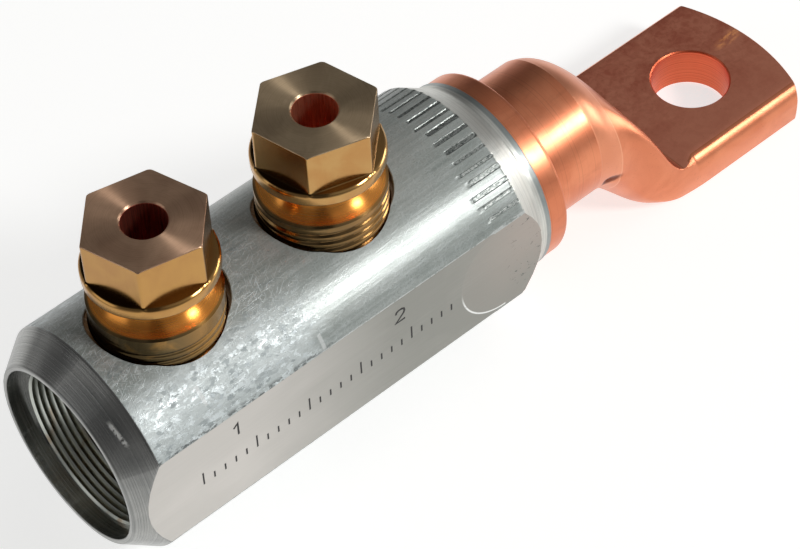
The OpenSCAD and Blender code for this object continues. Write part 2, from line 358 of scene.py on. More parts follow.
def jawMarks(sizes, reach):
    # the welder's jaws: uneven marks side by side round the top and the underside
    dice = random.Random(sizes["jawSeed"])
    marks = []
    for middle in (0, 180):
        count = int(reach / sizes["jawAngle"])
        for index in range(-count, count + 1):
            marks.append({
                "angle": middle + index * sizes["jawAngle"] + dice.uniform(*sizes["strayAngle"]),
                "half": sizes["jawHalf"] * dice.uniform(*sizes["strayHalf"]),
                "depth": sizes["jawDepth"] * dice.uniform(*sizes["strayDepth"]),
                "start": sizes["jawStart"] + dice.uniform(*sizes["strayStart"]),
            })
    return marks


def onArc(degrees):
    turn = math.radians(degrees)
    return math.sin(turn) * barrelRadius, math.cos(turn) * barrelRadius


def barrelColumns(sizes, marks):
    # the section's outline as angles from the top and radii, round once
    edgeAngle = math.degrees(math.asin(flatHalf / barrelRadius))
    arcEnd = edgeAngle - math.degrees(sizes["flatEdge"] / barrelRadius)
    edgeHeight = math.sqrt(barrelRadius ** 2 - flatHalf ** 2)
    bends = (sizes["jawFloor"], 1.0, sizes["burrPeak"], sizes["burrTo"])  # where a mark's section bends
    shares = [-bend for bend in bends] + [0, *bends]
    outline = []
    for side in (0, 180):
        angles = [side - arcEnd, side + arcEnd]
        for mark in marks:
            for share in shares:
                angle = mark["angle"] + share * mark["half"]
                if abs(angle - side) < arcEnd - sizes["flatMargin"]:
                    angles.append(angle)
        angles.sort()
        filled = []
        for here, after in zip(angles, angles[1:]):
            if after - here < sizes["columnLeast"] and filled:
                continue
            pieces = max(1, math.ceil((after - here) / sizes["columnGap"]))
            filled += [here + (after - here) * step / pieces for step in range(pieces)]
        filled.append(angles[-1])
        outline += [onArc(angle) for angle in filled]
        # the edge to the flat, the flat itself, and the edge to the other arc
        sign = 1 if side == 0 else -1
        corner = (flatHalf, edgeHeight)
        flatPoint = (flatHalf, edgeHeight - sizes["flatEdge"])
        bend = []
        for share in (0.25, 0.5, 0.75, 1.0):
            bend.append(tuple(
                (1 - share) ** 2 * a + 2 * share * (1 - share) * b + share ** 2 * c
                for a, b, c in zip(onArc(arcEnd), corner, flatPoint)))
        steps = sizes["flatColumns"]
        face = [(flatHalf, mix(flatPoint[1], -flatPoint[1], step / steps)) for step in range(1, steps)]
        for y, z in bend + face + [(y, -z) for y, z in reversed(bend)]:
            outline.append((sign * y, sign * z))
    outline = np.array(outline)
    return np.arctan2(outline[:, 0], outline[:, 1]), np.hypot(outline[:, 0], outline[:, 1])


def barrelMesh(sizes):
    marks = jawMarks(sizes, math.degrees(math.asin(flatHalf / barrelRadius)))
    angle, reach = barrelColumns(sizes, marks)
    coneStart = barrelLength - sizes["weldLand"] - sizes["weldCone"]
    mouthShare = (reach - sizes["mouthRadius"]) / (barrelRadius - sizes["mouthRadius"])
    weldShare = (barrelRadius - reach) / (barrelRadius - sizes["weldRadius"])
    mouthEdge = sizes["mouthLength"] * mouthShare
    weldEdge = coneStart + sizes["weldCone"] * weldShare
    outside = profileRows([
        (sizes["leadLength"], sizes["leadRadius"], 0), (0, sizes["leadRadius"], sizes["leadEdge"]),
        (0, sizes["mouthRadius"], sizes["mouthEdge"]), (mouthEdge, reach, sizes["coneEdge"]),
        *[(along, reach, 0) for along in np.arange(*sizes["plainRows"])]])
    marked = [np.stack([np.full(len(reach), along), reach], -1) for along in np.arange(*sizes["markedRows"])]
    coneRow = np.maximum(weldEdge + sizes["coneGap"], coneStart + sizes["coneLead"])
    coneShare = (coneRow - coneStart) / sizes["weldCone"]
    weldEnd = profileRows([
        (coneStart - sizes["coneLead"], reach, 0), (weldEdge, reach, sizes["weldEdge"]),
        (coneRow, barrelRadius - coneShare * (barrelRadius - sizes["weldRadius"]), 0),
        (barrelLength - sizes["weldLand"], sizes["weldRadius"], sizes["landEdge"]),
        (barrelLength, sizes["weldRadius"], sizes["endEdge"]),
        (barrelLength, sizes["weldRadius"] - sizes["endFace"], 0)])
    rows = np.concatenate([outside, marked, weldEnd])
    along = rows[:, :, 0]
    radius = rows[:, :, 1].copy()
    easeBefore, easeAfter = sizes["jawEase"]
    inJaws = along > sizes["plainRows"][1]
    for mark in marks:
        turn = np.degrees(np.angle(np.exp(1j * (angle - math.radians(mark["angle"])))))
        across = np.abs(turn) / mark["half"]
        begun = smooth(unit(along, mark["start"] - easeBefore, mark["start"] + easeAfter))
        floorRadius = barrelRadius - mark["depth"] * begun * unit(across, 1.0, sizes["jawFloor"])
        rise = unit(across, sizes["burrFrom"], sizes["burrPeak"])
        burr = sizes["jawBurr"] * begun * rise * unit(across, sizes["burrTo"], sizes["burrPeak"])
        stillRound = (radius > barrelRadius - sizes["roundSlack"]) & inJaws
        radius = np.where(inJaws, np.minimum(radius, floorRadius), radius) + np.where(stillRound, burr, 0)
    # the bore, with the ridges its tool leaves, from its blind end out to the lead-in
    drill = math.tan(math.radians(sizes["drillAngle"]))
    ridgeEnd = sizes["boreDepth"] - sizes["boreRadius"] / drill
    ridgeGap = sizes["ridgePitch"] / sizes["ridgeRows"]
    places = np.arange(sizes["leadLength"] + sizes["ridgeLead"], ridgeEnd - sizes["boreEdge"], ridgeGap)
    wave = 0.5 - 0.5 * np.cos(2 * math.pi * (places - places[0]) / sizes["ridgePitch"])
    ridges = sizes["boreRadius"] + sizes["ridgeDepth"] * wave ** sizes["ridgeShape"]
    inside = np.array([
        (sizes["leadLength"], sizes["boreRadius"] + sizes["boreEdge"]), *zip(places, ridges),
        (ridgeEnd, sizes["boreRadius"]),
        (sizes["boreDepth"] - sizes["drillBack"], sizes["drillBack"] * drill)])
    boreRows = np.repeat(inside[::-1, None, :], len(angle), axis=1)
    drop = np.concatenate([np.full(boreRows.shape[:2], sizes["boreDrop"]), np.zeros_like(along)])
    along = np.concatenate([boreRows[:, :, 0], along])
    radius = np.concatenate([boreRows[:, :, 1], radius])
    rings = np.stack([along, radius * np.sin(angle), radius * np.cos(angle) - drop], -1)
    return closedTube(rings, (sizes["boreDepth"], 0, -sizes["boreDrop"]), (barrelLength, 0, 0))


def portCutters(sizes, along, name):
    # a plug for the threaded hole and one for the shallow seat; fine edges follow the barrel's round top
    turn = np.linspace(0, 2 * math.pi, sizes["portColumns"], endpoint=False)
    seat = barrelRadius - sizes["recessDepth"]
    edge = sizes["portEdge"]
    above = barrelRadius + sizes["plugRise"]
    least = sizes["recessLeast"]

    def skin(radius):
        return np.sqrt(barrelRadius ** 2 - (radius * np.sin(turn)) ** 2)

    inner = sizes["portRadius"]
    runOut = unit(skin(sizes["recessRadius"]), seat, barrelRadius) ** 0.5  # the seat runs out to a point
    outer = mix(inner + least, sizes["recessRadius"], runOut)
    hole = [
        (0, inner), (np.minimum(skin(inner), seat) - edge, inner),
        (np.minimum(skin(inner + edge), seat), inner + edge),
        (np.minimum(skin(inner + 3 * edge), seat) + 2 * edge, inner + 3 * edge), (above, inner + 3 * edge)]
    rim = [
        (seat, outer), (np.maximum(skin(outer) - edge, seat + least / 2), outer),
        (np.maximum(skin(outer + edge), seat + least), outer + edge),
        (np.maximum(skin(outer + 3 * edge), seat) + 2 * edge, outer + 3 * edge), (above, outer + 3 * edge)]
    plugs = []
    for part, corners in (("hole", hole), ("seat", rim)):
        rows = profileRows([(*corner, 0) for corner in corners])
        plugs.append(makePiece(name + part, *uprightTurned(rows, turn, along, rows[0, 0, 0], above)))
    return plugs


barrelLooks = {
    "round": tone(174, 180, 176), "roundDull": tone(136, 144, 139), "fleck": tone(240, 249, 250),
    # edge is pale: the painted highlight along the edge to the flat, the rubs and the cutter's track are
    # drawn in it
    "stainAndShade": tone(84, 90, 88), "smudgeAndReflection": tone(112, 124, 128), "edge": tone(238, 240, 238),
    "flat": tone(210, 206, 201), "flatDullAndShade": tone(150, 150, 144), "flatEnd": tone(176, 166, 158),
    "weld end": tone(214, 214, 207), "weld end dark": tone(178, 179, 174),
    "mouth": tone(156, 156, 153), "mouth dark": tone(120, 122, 121), "streak": tone(240, 240, 236),
    "port": tone(150, 112, 74), "port dark": tone(110, 80, 52), "pressed": tone(166, 170, 166),
    "bore": tone(200, 204, 196), "boreBrown": tone(158, 128, 88),
    "scuffs": ((4, 2.6, 0.16, 1.7), (33, 1.8, 0.17, 5.2), (-38, 1.6, 0.15, 8.9), (76, 1.3, 0.16, 12.4)),
    "handledTo": 33.0, "handledTurn": (24.0, 36.0), "glossy": (15.0, 7.0),
    "edgeSide": (15.6, 16.0), "bruiseUp": (10.0, 9.3), "bruiseAlong": (42.0, 32.0),
    "paintedHighlightUp": (9.3, 9.15), "paintedHighlightAlong": (31.0, 37.0),
    "paintedShadeAlong": (16.0, 54.0), "warmAlong": (61.0, 78.0), "warmUp": (-3.0, 8.0), "nickAlong": (70.5, 73.0),
    "trackMiddle": (71.0, 0.2), "trackRadius": 8.8, "trackWidth": 0.13, "trackEdge": 0.1,
    "trackUp": (0.5, -3.5), "rubs": ((35.8, -57.0, 4.2), (15.5, -46.0, 5.2)), "rubWidth": 0.42,
    "scratchTurn": -40.0, "scratchAlong": 2.6, "scratchRadius": 17.2, "scratchHalf": (2.6, 1.4),
    "scratchWidth": (0.5, 0.15), "paintedReflectionRing": (1.1, 0.8),
}


def roundAluminium(looks):
    # drawn bar: long streaks, and a scuffed stripe where it was handled, from the mouth past the first bolt
    finish = startFinish("drawn aluminium")
    here = finish.place()
    x, y, z = finish.split(here)
    turn = y.maths("ARCTAN2", y, z) * math.degrees(1)
    around = turn * math.radians(barrelRadius)
    streak = finish.noise(here, (0.05, 1.9, 1.9), 4, 0.6)
    fine = finish.noise(here, (0.3, 6.0, 6.0), 3, 0.65, 0, 3.9)
    patch = finish.noise(here, (0.09, 0.16, 0.16), 3, 0.55, 0.6, 4.1)
    fleck = finish.noise(here, (2.6, 4.2, 4.2), 3, 0.65, 0.2, 2.9)
    haze = finish.noise(here, (0.7, 1.3, 1.3), 4, 0.7, 0.3, 7.7)
    ragged = (patch - 0.5) * 22 + (haze - 0.5) * 10
    handled = (x + ragged).between(looks["handledTo"] + 6, looks["handledTo"] - 3)
    scuffed = handled * (abs(turn) + ragged * 0.6).between(*looks["handledTurn"])
    marks = 0
    for degrees, length, width, shift in looks["scuffs"]:
        marks = finish.scratches(x, around, degrees, length, width, shift).between(0.6, 0.7) | marks
    marks = marks * (0.3 + handled * 0.7)
    bright = fleck.between(0.56, 0.64)
    smudge = finish.noise(here, (0.22, 0.5, 0.5), 5, 0.7, 0.4, 13.3).between(0.54, 0.66)
    smudge = smudge * (handled * 0.85 + 0.1)
    # bruised grains: small angular patches, each of its own brightness
    shaken = finish.vector("MULTIPLY_ADD", finish.join(haze, fine, fleck), (2.0, 1.2, 1.2), here)
    grain = finish.vector("MULTIPLY", shaken, (1.1, 1.9, 1.9))
    cells = finish.node("TexVoronoi", {"distance": "MANHATTAN"}, {"Vector": grain, "Scale": 1}, out="Color")
    pale, grey = finish.split(cells)[:2]
    pale = pale.between(0.5, 0.95) * scuffed
    grey = grey.between(0.84, 0.98) * scuffed
    rub = 0
    rubWidth = looks["rubWidth"]
    for along, angle, reach in looks["rubs"]:
        band = abs(x - along).between(rubWidth, rubWidth * 0.5)
        rub = band * abs(turn - angle).between(reach, reach * 0.8) | rub
    # the edge to the flat is bruised near the mouth, and further on a painted highlight runs along it
    jag = finish.noise(here, (0.8, 1.5, 1.5), 3, 0.7, 0.3, 9.9)
    bruiseSide, paintedHighlightSide = looks["edgeSide"]
    bruise = (abs(y) > bruiseSide) * abs(z).between(*looks["bruiseUp"]) * x.between(*looks["bruiseAlong"])
    bruise = bruise * jag.between(0.46, 0.56)
    paintedHighlight = abs(z).between(*looks["paintedHighlightUp"]) * (abs(y) > paintedHighlightSide) * x.between(*looks["paintedHighlightAlong"])
    paintedHighlight = paintedHighlight * jag.between(0.4, 0.5)
    dull = streak.between(0.35, 0.65) * 0.5 + patch.between(0.4, 0.65) * 0.3
    colour = finish.blend(dull, looks["round"], looks["roundDull"])
    colour = finish.blend(scuffed * 0.4 + pale * 0.45 | marks * 0.5, colour, looks["fleck"])
    colour = finish.blend(smudge * 0.4 | grey * 0.5, colour, looks["smudgeAndReflection"])
    colour = finish.blend(bruise * 0.8, colour, looks["stainAndShade"])
    # painted highlight along the edge to the flat, and the pale rubs
    colour = finish.blend(paintedHighlight * 0.5 | rub * haze.between(0.3, 0.5) * 0.5, colour, looks["edge"])
    plain = 0.22 + streak * 0.12 + fine * 0.06 - bright * 0.05
    scuffing = scuffed * (0.16 - bright * 0.08 - x.between(*looks["glossy"]) * 0.06)
    roughness = plain + scuffing + rub * 0.05 - marks * 0.04
    roughness = roughness - pale * 0.12 + grey * 0.04
    height = streak * 0.4 + fine * 0.12 + fleck * (0.25 + handled * 0.2) + marks * 0.5 + haze * scuffed * 0.4
    return finish.metal(colour, roughness, finish.bump(height + pale * 0.5, 0.03, 0.7), metallic=0.2)


def pressedAluminium(looks):
    # floors of the jaw marks: dull and pitted, their darker colour partly painted shade in the grooves
    finish = startFinish("pressed aluminium")
    here = finish.place()
    pit = finish.noise(here, (2.2, 3.2, 3.2), 4, 0.7, 0.3, 6.2)
    drag = finish.noise(here, (0.6, 5.0, 5.0), 3, 0.6, 0, 1.1)
    colour = finish.blend(pit.between(0.35, 0.6), looks["stainAndShade"], looks["pressed"])
    roughness = 0.4 + drag * 0.1 - pit.between(0.58, 0.66) * 0.16
    return finish.metal(colour, roughness, finish.bump(pit * 0.9 + drag * 0.4, 0.04, 0.8))


def milledAluminium(looks):
    # the flats: faint streaks along the cut, and the round track where the cutter stopped
    finish = startFinish("milled aluminium")
    here = finish.place()
    x, y, z = finish.split(here)
    grain = finish.noise(here, (0.1, 2.4, 2.4), 4, 0.6)
    cloud = finish.noise(here, (0.05, 0.1, 0.1), 3, 0.5, 0.3, 3.3)
    fine = finish.noise(here, (1.2, 7, 7), 2, 0.6, 0, 8.8)
    middle = looks["trackMiddle"]
    away = finish.length(x - middle[0], 0, z - middle[1])
    radius = looks["trackRadius"]
    edge = looks["trackEdge"]
    inTrack = away.between(radius + edge, radius - edge) | x.between(middle[0] - edge, middle[0] + edge)
    warm = x.between(*looks["warmAlong"]) * (z + cloud * 8).between(*looks["warmUp"]) * 0.7 + inTrack * 0.12
    track = abs(away - radius).between(looks["trackWidth"] * 1.6, looks["trackWidth"] * 0.5) * (x < middle[0])
    track = track * finish.noise(here, 0.35, 2).between(0.25, 0.4) * z.between(*looks["trackUp"])
    nick = finish.noise(here, (0.9, 2.2, 2.2), 3, 0.7, 0.6, 6.4).between(0.63, 0.69)
    nick = nick * x.between(*looks["nickAlong"])
    # painted shade: the flat grows darker from near the mouth toward the palm end, mixed with random grain
    # and cloud
    dull = x.between(*looks["paintedShadeAlong"]) * 0.9 + grain * 0.1 + cloud.between(0.35, 0.65) * 0.12
    colour = finish.blend(dull, looks["flat"], looks["flatDullAndShade"])
    colour = finish.blend(warm, colour, looks["flatEnd"])
    colour = finish.blend(track, colour, looks["edge"])
    colour = finish.blend(nick * 0.8, colour, looks["stainAndShade"])
    roughness = 0.36 + grain * 0.08 + fine * 0.05
    normal = finish.bump(grain * 0.3 + fine * 0.25 - inTrack * 0.8 - nick * 1.5, 0.02, 0.5)
    return finish.metal(colour, roughness, normal)


def turnedAluminium(name, looks, gloss):
    # cones, end faces and port walls: rings from the lathe tool
    finish = startFinish(name + " aluminium")
    here = finish.place()
    x, y, z = finish.split(here)
    radius = finish.length(0, y, z)
    ring = finish.lines(x + radius * 0.7, 3.5, 3)
    fine = finish.lines(x + radius * 0.7, 14, 2)
    cloud = finish.noise(here, 0.15, 3, 0.5, 0.4, 6.1)
    # one scratch across the mouth's cone
    turn = math.radians(looks["scratchTurn"])
    outY, outZ = math.sin(turn), math.cos(turn)
    spot = (looks["scratchAlong"], looks["scratchRadius"] * outY, looks["scratchRadius"] * outZ)
    apart = finish.vector("SUBTRACT", here, spot)
    sideways = finish.vector("DOT_PRODUCT", apart, (0, outZ, -outY), out="Value")
    across = finish.vector("DOT_PRODUCT", apart, (0.8, 0.6 * outY, 0.6 * outZ), out="Value")
    scratch = abs(sideways).between(*looks["scratchHalf"])
    scratch = scratch * abs(across + sideways * 0.12).between(*looks["scratchWidth"])
    scratch = scratch * finish.noise(here, 2.2, 2, 0.6, 0.3, 3.1).between(0.38, 0.5)
    worn = cloud.between(0.3, 0.7) * 0.5 + ring.between(0.4, 0.7) * 0.5
    colour = finish.blend(worn, looks[name], looks[name + " dark"])
    colour = finish.blend(fine.between(0.56, 0.7) * 0.5 | scratch * 0.9, colour, looks["streak"])
    # painted reflection: a dark ring on the weld land just short of the end
    paintedReflectionRing = x.between(*[barrelLength - back for back in looks["paintedReflectionRing"]])
    colour = finish.blend(paintedReflectionRing * (0.45 + cloud * 0.4), colour, looks["smudgeAndReflection"])
    roughness = gloss + fine * 0.12 + cloud * 0.06 + scratch * 0.25
    normal = finish.bump(ring * 0.6 + fine * 0.3 + scratch * 0.8, 0.03, 0.5)
    return finish.metal(colour, roughness, normal)


def boredAluminium(looks):
    finish = startFinish("bored aluminium")
    here = finish.place()
    cloud = finish.noise(here, 0.14, 3, 0.6, 0.7, 1.9)
    grain = finish.noise(here, (3, 0.8, 0.8), 3, 0.6)
    # brownish patches at random on the bore's wall
    colour = finish.blend(cloud.between(0.5, 0.68) * 0.6, looks["bore"], looks["boreBrown"])
    return finish.metal(colour, 0.26 + grain * 0.15, finish.bump(grain, 0.02, 0.4))


def barrelRegion(sizes):
    drawn, flat, weldEnd, bore, port, pressed, mouthEnd = range(7)  # places in the list of finishes
    coneStart = barrelLength - sizes["weldLand"] - sizes["weldCone"]
    seat = barrelRadius - sizes["recessDepth"]

    def choose(centre, normal):
        x, y, z = centre.T
        facing = np.abs(normal)
        spread = np.hypot(y, z)
        region = np.full(len(centre), drawn)
        region[(facing[:, 1] > 0.97) & (np.abs(y) > flatHalf - 0.1)] = flat
        turned = (facing[:, 0] > 0.3) & ((x < sizes["mouthLength"] + 0.3) | (x > coneStart - 0.1))
        land = (x > barrelLength - sizes["weldLand"] - 0.6) & (spread > 10)
        leadIn = (spread < sizes["leadRadius"] + 0.05) & (x < sizes["leadLength"] - 0.01)
        leadIn = leadIn & (facing[:, 0] < 0.5)
        region[turned | land | leadIn] = weldEnd
        inBore = np.hypot(y, z + sizes["boreDrop"]) < sizes["boreRadius"] + 0.6
        region[inBore & (x > sizes["leadLength"] - 0.01) & (x < sizes["boreDepth"] + 6)] = bore
        for along in boltAlong:
            away = np.hypot(x - along, y)
            inHole = away < sizes["portRadius"] + sizes["portEdge"]
            onSeat = (away < sizes["recessRadius"]) & (np.abs(z - seat) < 0.05) & (normal[:, 2] > 0.98)
            onWall = (away < sizes["recessRadius"] + 0.1) & (facing[:, 2] < 0.3)
            region[(inHole | onSeat | onWall) & (z > sizes["boreRadius"] - 2)] = port
        sunk = (spread < barrelRadius - 0.045) & (np.abs(y) < flatHalf - 0.6) & (x > sizes["jawStart"] - 1.2)
        region[(region == drawn) & sunk] = pressed
        region[(region == weldEnd) & (x < barrelLength / 2)] = mouthEnd
        return region
    return choose


barrelPiece = makePiece("barrel_skin", *barrelMesh(barrelSizes))
for number, along in zip((1, 2), boltAlong):
    cutAway(barrelPiece, portCutters(barrelSizes, along, "port_%d_" % number))
dress(barrelPiece, "lug", "barrel", [
    roundAluminium(barrelLooks), milledAluminium(barrelLooks), turnedAluminium("weld end", barrelLooks, 0.26),
    boredAluminium(barrelLooks), turnedAluminium("port", barrelLooks, 0.1), pressedAluminium(barrelLooks),
    turnedAluminium("mouth", barrelLooks, 0.16)], barrelRegion(barrelSizes))


# Copper palm
palmSizes = {
    "collarRadius": 16.3, "collarLength": 3.8, "collarEdge": 0.8, "neckRadius": 12.35, "neckLength": 11.0,
    "skinIn": 0.05, "stepLength": 17.4, "squareUp": 6.0, "width": 28.6, "thick": 7.4, "bulge": 0.4,
    "edge": 3.6, "farEdge": 1.6, "stepEdge": 2.8, "footEdge": 0.4, "lowerEdge": 0.8, "crease": 60,
    "crestLead": 0.27, "crestBend": 0.68, "footBend": 0.2, "bellyFrom": 0.1, "bellyTo": 0.68,
    "spreadFrom": 0.35, "squareNear": (0.2, 0.75), "squareFar": (0.42, 0.95),
    "hookFrom": (-7.0, -1.5), "hookTo": (0.4, 3.0),
    "sideSteps": 0.2, "edgeSteps": 0.6, "quarterSteps": 36, "sectionGap": 0.3,
    "startFace": 1.0, "startEdge": 0.12, "neckFoot": 0.5, "neckEdge": 0.06, "neckSlip": 0.05,
    "foldAt": (-11.2, -5.2), "foldFrom": 96.8, "foldTo": 103.0, "foldEase": (1.5, 2.5), "foldHalf": 0.7,
    "foldDepth": 0.6, "endRadius": 34.0, "endEdge": 0.35,
    "holeRadius": 6.5, "holeEdge": 0.25, "holeFoot": 0.12, "plugRise": 1.0, "holeColumns": 128,
}


def ramp(share, sizes):
    # straight, with a bend at each end, and partly sloping from the very start
    slope = 2 / (2 - sizes["crestBend"] - sizes["footBend"])
    bent = slope * (share - sizes["crestBend"] / 2)
    if share < sizes["crestBend"]:
        bent = slope * share * share / (2 * sizes["crestBend"])
    elif share > 1 - sizes["footBend"]:
        bent = 1 - slope * (1 - share) ** 2 / (2 * sizes["footBend"])
    return mix(bent, share, sizes["crestLead"])


def quarter(half, height, squareness, edge, sweep, sizes):
    # from the middle of a side to the middle of the top, between an ellipse and a box whose edge is rounded
    share = np.linspace(0, 1, sizes["quarterSteps"] + 1)
    turn = share * math.pi / 2
    oval = np.stack([half * np.cos(turn), height * np.sin(turn)], -1)
    sweep = math.radians(sweep)
    low = height - edge * math.sin(sweep)
    inner = half - sizes["bulge"] * (low / height) ** 2 - edge
    sideEnd = sizes["sideSteps"]  # shares of the points that go to the side, and to the side and the edge
    edgeEnd = sizes["edgeSteps"]
    sideHeight = low * np.minimum(share / sideEnd, 1)
    bend = unit(share, sideEnd, edgeEnd) * sweep
    top = unit(share, edgeEnd, 1.0)
    bulged = half - sizes["bulge"] * (sideHeight / height) ** 2
    across = np.where(share <= sideEnd, bulged, inner + edge * np.cos(bend))
    across = np.where(share > edgeEnd, (inner + edge * math.cos(sweep)) * (1 - top), across)
    upward = np.where(share <= sideEnd, sideHeight, low + edge * np.sin(bend))
    return mix(oval, np.stack([across, upward], -1), squareness)


def wholeSection(near, far, lower, middle):
    # the far side is +Y
    right = far[:-1] * (1, 1)
    left = near[:0:-1] * (-1, 1)
    leftBelow = lower[:-1] * (-1, -1)
    rightBelow = lower[:0:-1] * (1, -1)
    return np.concatenate([right, left, leftBelow, rightBelow]) + (0, middle)


def stepSection(along, start, sizes):
    # the round neck is pressed down and out into the palm
    share = float(unit(along, start, start + sizes["stepLength"]))
    skin = sizes["neckRadius"] - sizes["skinIn"]
    top = mix(skin, palmBottom + sizes["thick"], ramp(share, sizes))
    bottom = mix(-skin, palmBottom, smooth(unit(share, sizes["bellyFrom"], sizes["bellyTo"])))
    middle = (top + bottom) / 2
    half = mix(skin, sizes["width"] / 2, smooth(unit(share, sizes["spreadFrom"], 1)))
    foot = start + sizes["stepLength"]
    plateStart = foot + sizes["squareUp"]
    # the press leaves the near edge sharper at the foot of the step than on either side of it
    hooked = np.interp(along - foot, (*sizes["hookFrom"], *sizes["hookTo"]),
                       (sizes["stepEdge"], sizes["footEdge"], sizes["footEdge"], sizes["edge"]))
    plain = np.interp(along - foot, (sizes["hookFrom"][0], 0), (sizes["stepEdge"], sizes["farEdge"]))
    nearSquare = smooth(unit(share, *sizes["squareNear"]))
    farSquare = smooth(unit(share, *sizes["squareFar"]))
    lowSquare = smooth(unit(along, start, plateStart))
    near = quarter(half, top - middle, nearSquare, hooked, sizes["crease"], sizes)
    far = quarter(half, top - middle, farSquare, plain, sizes["crease"], sizes)
    lower = quarter(half, middle - bottom, lowSquare, sizes["lowerEdge"], 90, sizes)
    section = wholeSection(near, far, lower, middle)
    # a short fold under the neck, on the near side
    away = np.linalg.norm(section - sizes["foldAt"], axis=1) / sizes["foldHalf"]
    easeIn, easeOut = sizes["foldEase"]
    begun = smooth(unit(along, sizes["foldFrom"], sizes["foldFrom"] + easeIn))
    ended = smooth(unit(along, sizes["foldTo"], sizes["foldTo"] - easeOut))
    sunk = sizes["foldDepth"] * begun * ended * np.exp(-away ** 2)
    inward = (0, middle) - section
    return section + inward / np.linalg.norm(inward, axis=1, keepdims=True) * sunk[:, None]


def palmMesh(sizes):
    collarEnd = barrelLength + sizes["collarLength"]
    neckEnd = collarEnd + sizes["neckLength"]
    plateStart = neckEnd + sizes["stepLength"] + sizes["squareUp"]
    columns = 4 * sizes["quarterSteps"]
    turn = np.arange(columns) * 2 * math.pi / columns
    slip = sizes["neckSlip"]
    lathe = profileRows([
        (barrelLength, sizes["collarRadius"] - sizes["startFace"], 0),
        (barrelLength, sizes["collarRadius"], sizes["startEdge"]),
        (collarEnd, sizes["collarRadius"], sizes["collarEdge"]),
        (collarEnd, sizes["neckRadius"], sizes["neckFoot"]),
        (neckEnd - slip, sizes["neckRadius"], sizes["neckEdge"]),
        (neckEnd + slip, sizes["neckRadius"] - sizes["skinIn"], 0)], steps=5)
    rings = []
    for row in lathe:
        along, radius = row[0]
        rings.append(np.stack([np.full(columns, along), radius * np.cos(turn), radius * np.sin(turn)], -1))
    count = math.ceil((plateStart - neckEnd) / sizes["sectionGap"])
    for step in range(1, count + 1):
        along = mix(neckEnd, plateStart, step / count)
        section = stepSection(along, neckEnd, sizes)
        rings.append(np.column_stack([np.full(columns, along), section]))
    # the flat plate runs out to a shallow arc, and its end has a small edge
    flatSection = rings[-1][:, 1:]
    middle = palmBottom + sizes["thick"] / 2
    arcFar = palmEnd - sizes["endRadius"] + np.sqrt(sizes["endRadius"] ** 2 - flatSection[:, 0] ** 2)
    edge = sizes["endEdge"]
    for share in (0.25, 0.5, 0.75, 1):
        rings.append(np.column_stack([mix(plateStart, arcFar - edge, share), flatSection]))
    for share in np.linspace(0, 1, 5)[1:]:
        bend = share * math.pi / 2
        shrink = edge * (1 - math.cos(bend))
        away = arcFar - edge * (1 - math.sin(bend))
        across = flatSection[:, 0] * (1 - shrink / (sizes["width"] / 2))
        upward = middle + (flatSection[:, 1] - middle) * (1 - shrink / (sizes["thick"] / 2))
        rings.append(np.column_stack([away, across, upward]))
    points = np.concatenate(rings)
    faces = tubeFaces(len(rings), columns, len(points))
    # the end face, in strips from edge to edge
    last = (len(rings) - 1) * columns
    half = columns // 2
    strips = [[last, last + 1, last + columns - 1]]
    for i in range(1, half - 1):
        strips.append([last + i, last + i + 1, last + columns - i - 1, last + columns - i])
    strips.append([last + half - 1, last + half, last + half + 1])
    points = np.concatenate([points, [(barrelLength, 0, 0)]])
    return points, faces + strips


def holeCutter(sizes):
    turn = np.linspace(0, 2 * math.pi, sizes["holeColumns"], endpoint=False)
    top = palmBottom + sizes["thick"]
    radius = sizes["holeRadius"]
    edge = sizes["holeEdge"]
    rise = sizes["plugRise"]
    rows = profileRows([
        (palmBottom - rise, radius + rise, 0), (palmBottom + sizes["holeFoot"], radius, 0.1),
        (top - edge, radius, 0.08), (top + rise, radius + edge + rise, 0)], steps=2)
    return makePiece("palm_hole_plug", *uprightTurned(rows, turn, holeAlong, palmBottom - rise, top + rise))


palmLooks = {
    "fresh": tone(231, 146, 108), "warm": tone(216, 130, 94), "brown": tone(150, 88, 66),
    # crease is the colour of the painted shade in the fold under the neck
    "pale": tone(246, 184, 148), "crease": tone(124, 66, 48),
    "top": tone(255, 166, 134), "topDark": tone(222, 127, 101), "smear": tone(255, 172, 96),
    "bored": tone(232, 120, 84), "boredDark": tone(196, 84, 56),
    "bandTo": 100.4, "bandEdge": 0.1, "smearAt": (139.9, 2.4), "smearSize": (4.6, 1.5),
    "darkAcross": (-13.0, 9.0),
}


def turnedCopper(looks):
    finish = startFinish("turned copper")
    here = finish.place()
    x, y, z = finish.split(here)
    radius = finish.length(0, y, z)
    ring = finish.lines(x + radius * 0.6, 4, 3)
    fine = finish.lines(x + radius * 0.6, 14, 2)
    cloud = finish.noise(here, 0.13, 4, 0.55, 0.6, 5.2)
    rub = finish.noise(here, (0.2, 0.5, 0.5), 4, 0.6, 0.6, 2.7)
    colour = finish.blend(cloud.between(0.35, 0.65), looks["fresh"], looks["warm"])
    colour = finish.blend(ring.between(0.5, 0.8) * 0.25 + rub.between(0.5, 0.8) * 0.2, colour, looks["brown"])
    roughness = 0.26 + fine * 0.08 + cloud * 0.05
    return finish.metal(colour, roughness, finish.bump(ring * 0.35 + fine * 0.2 + rub * 0.12, 0.02, 0.45))


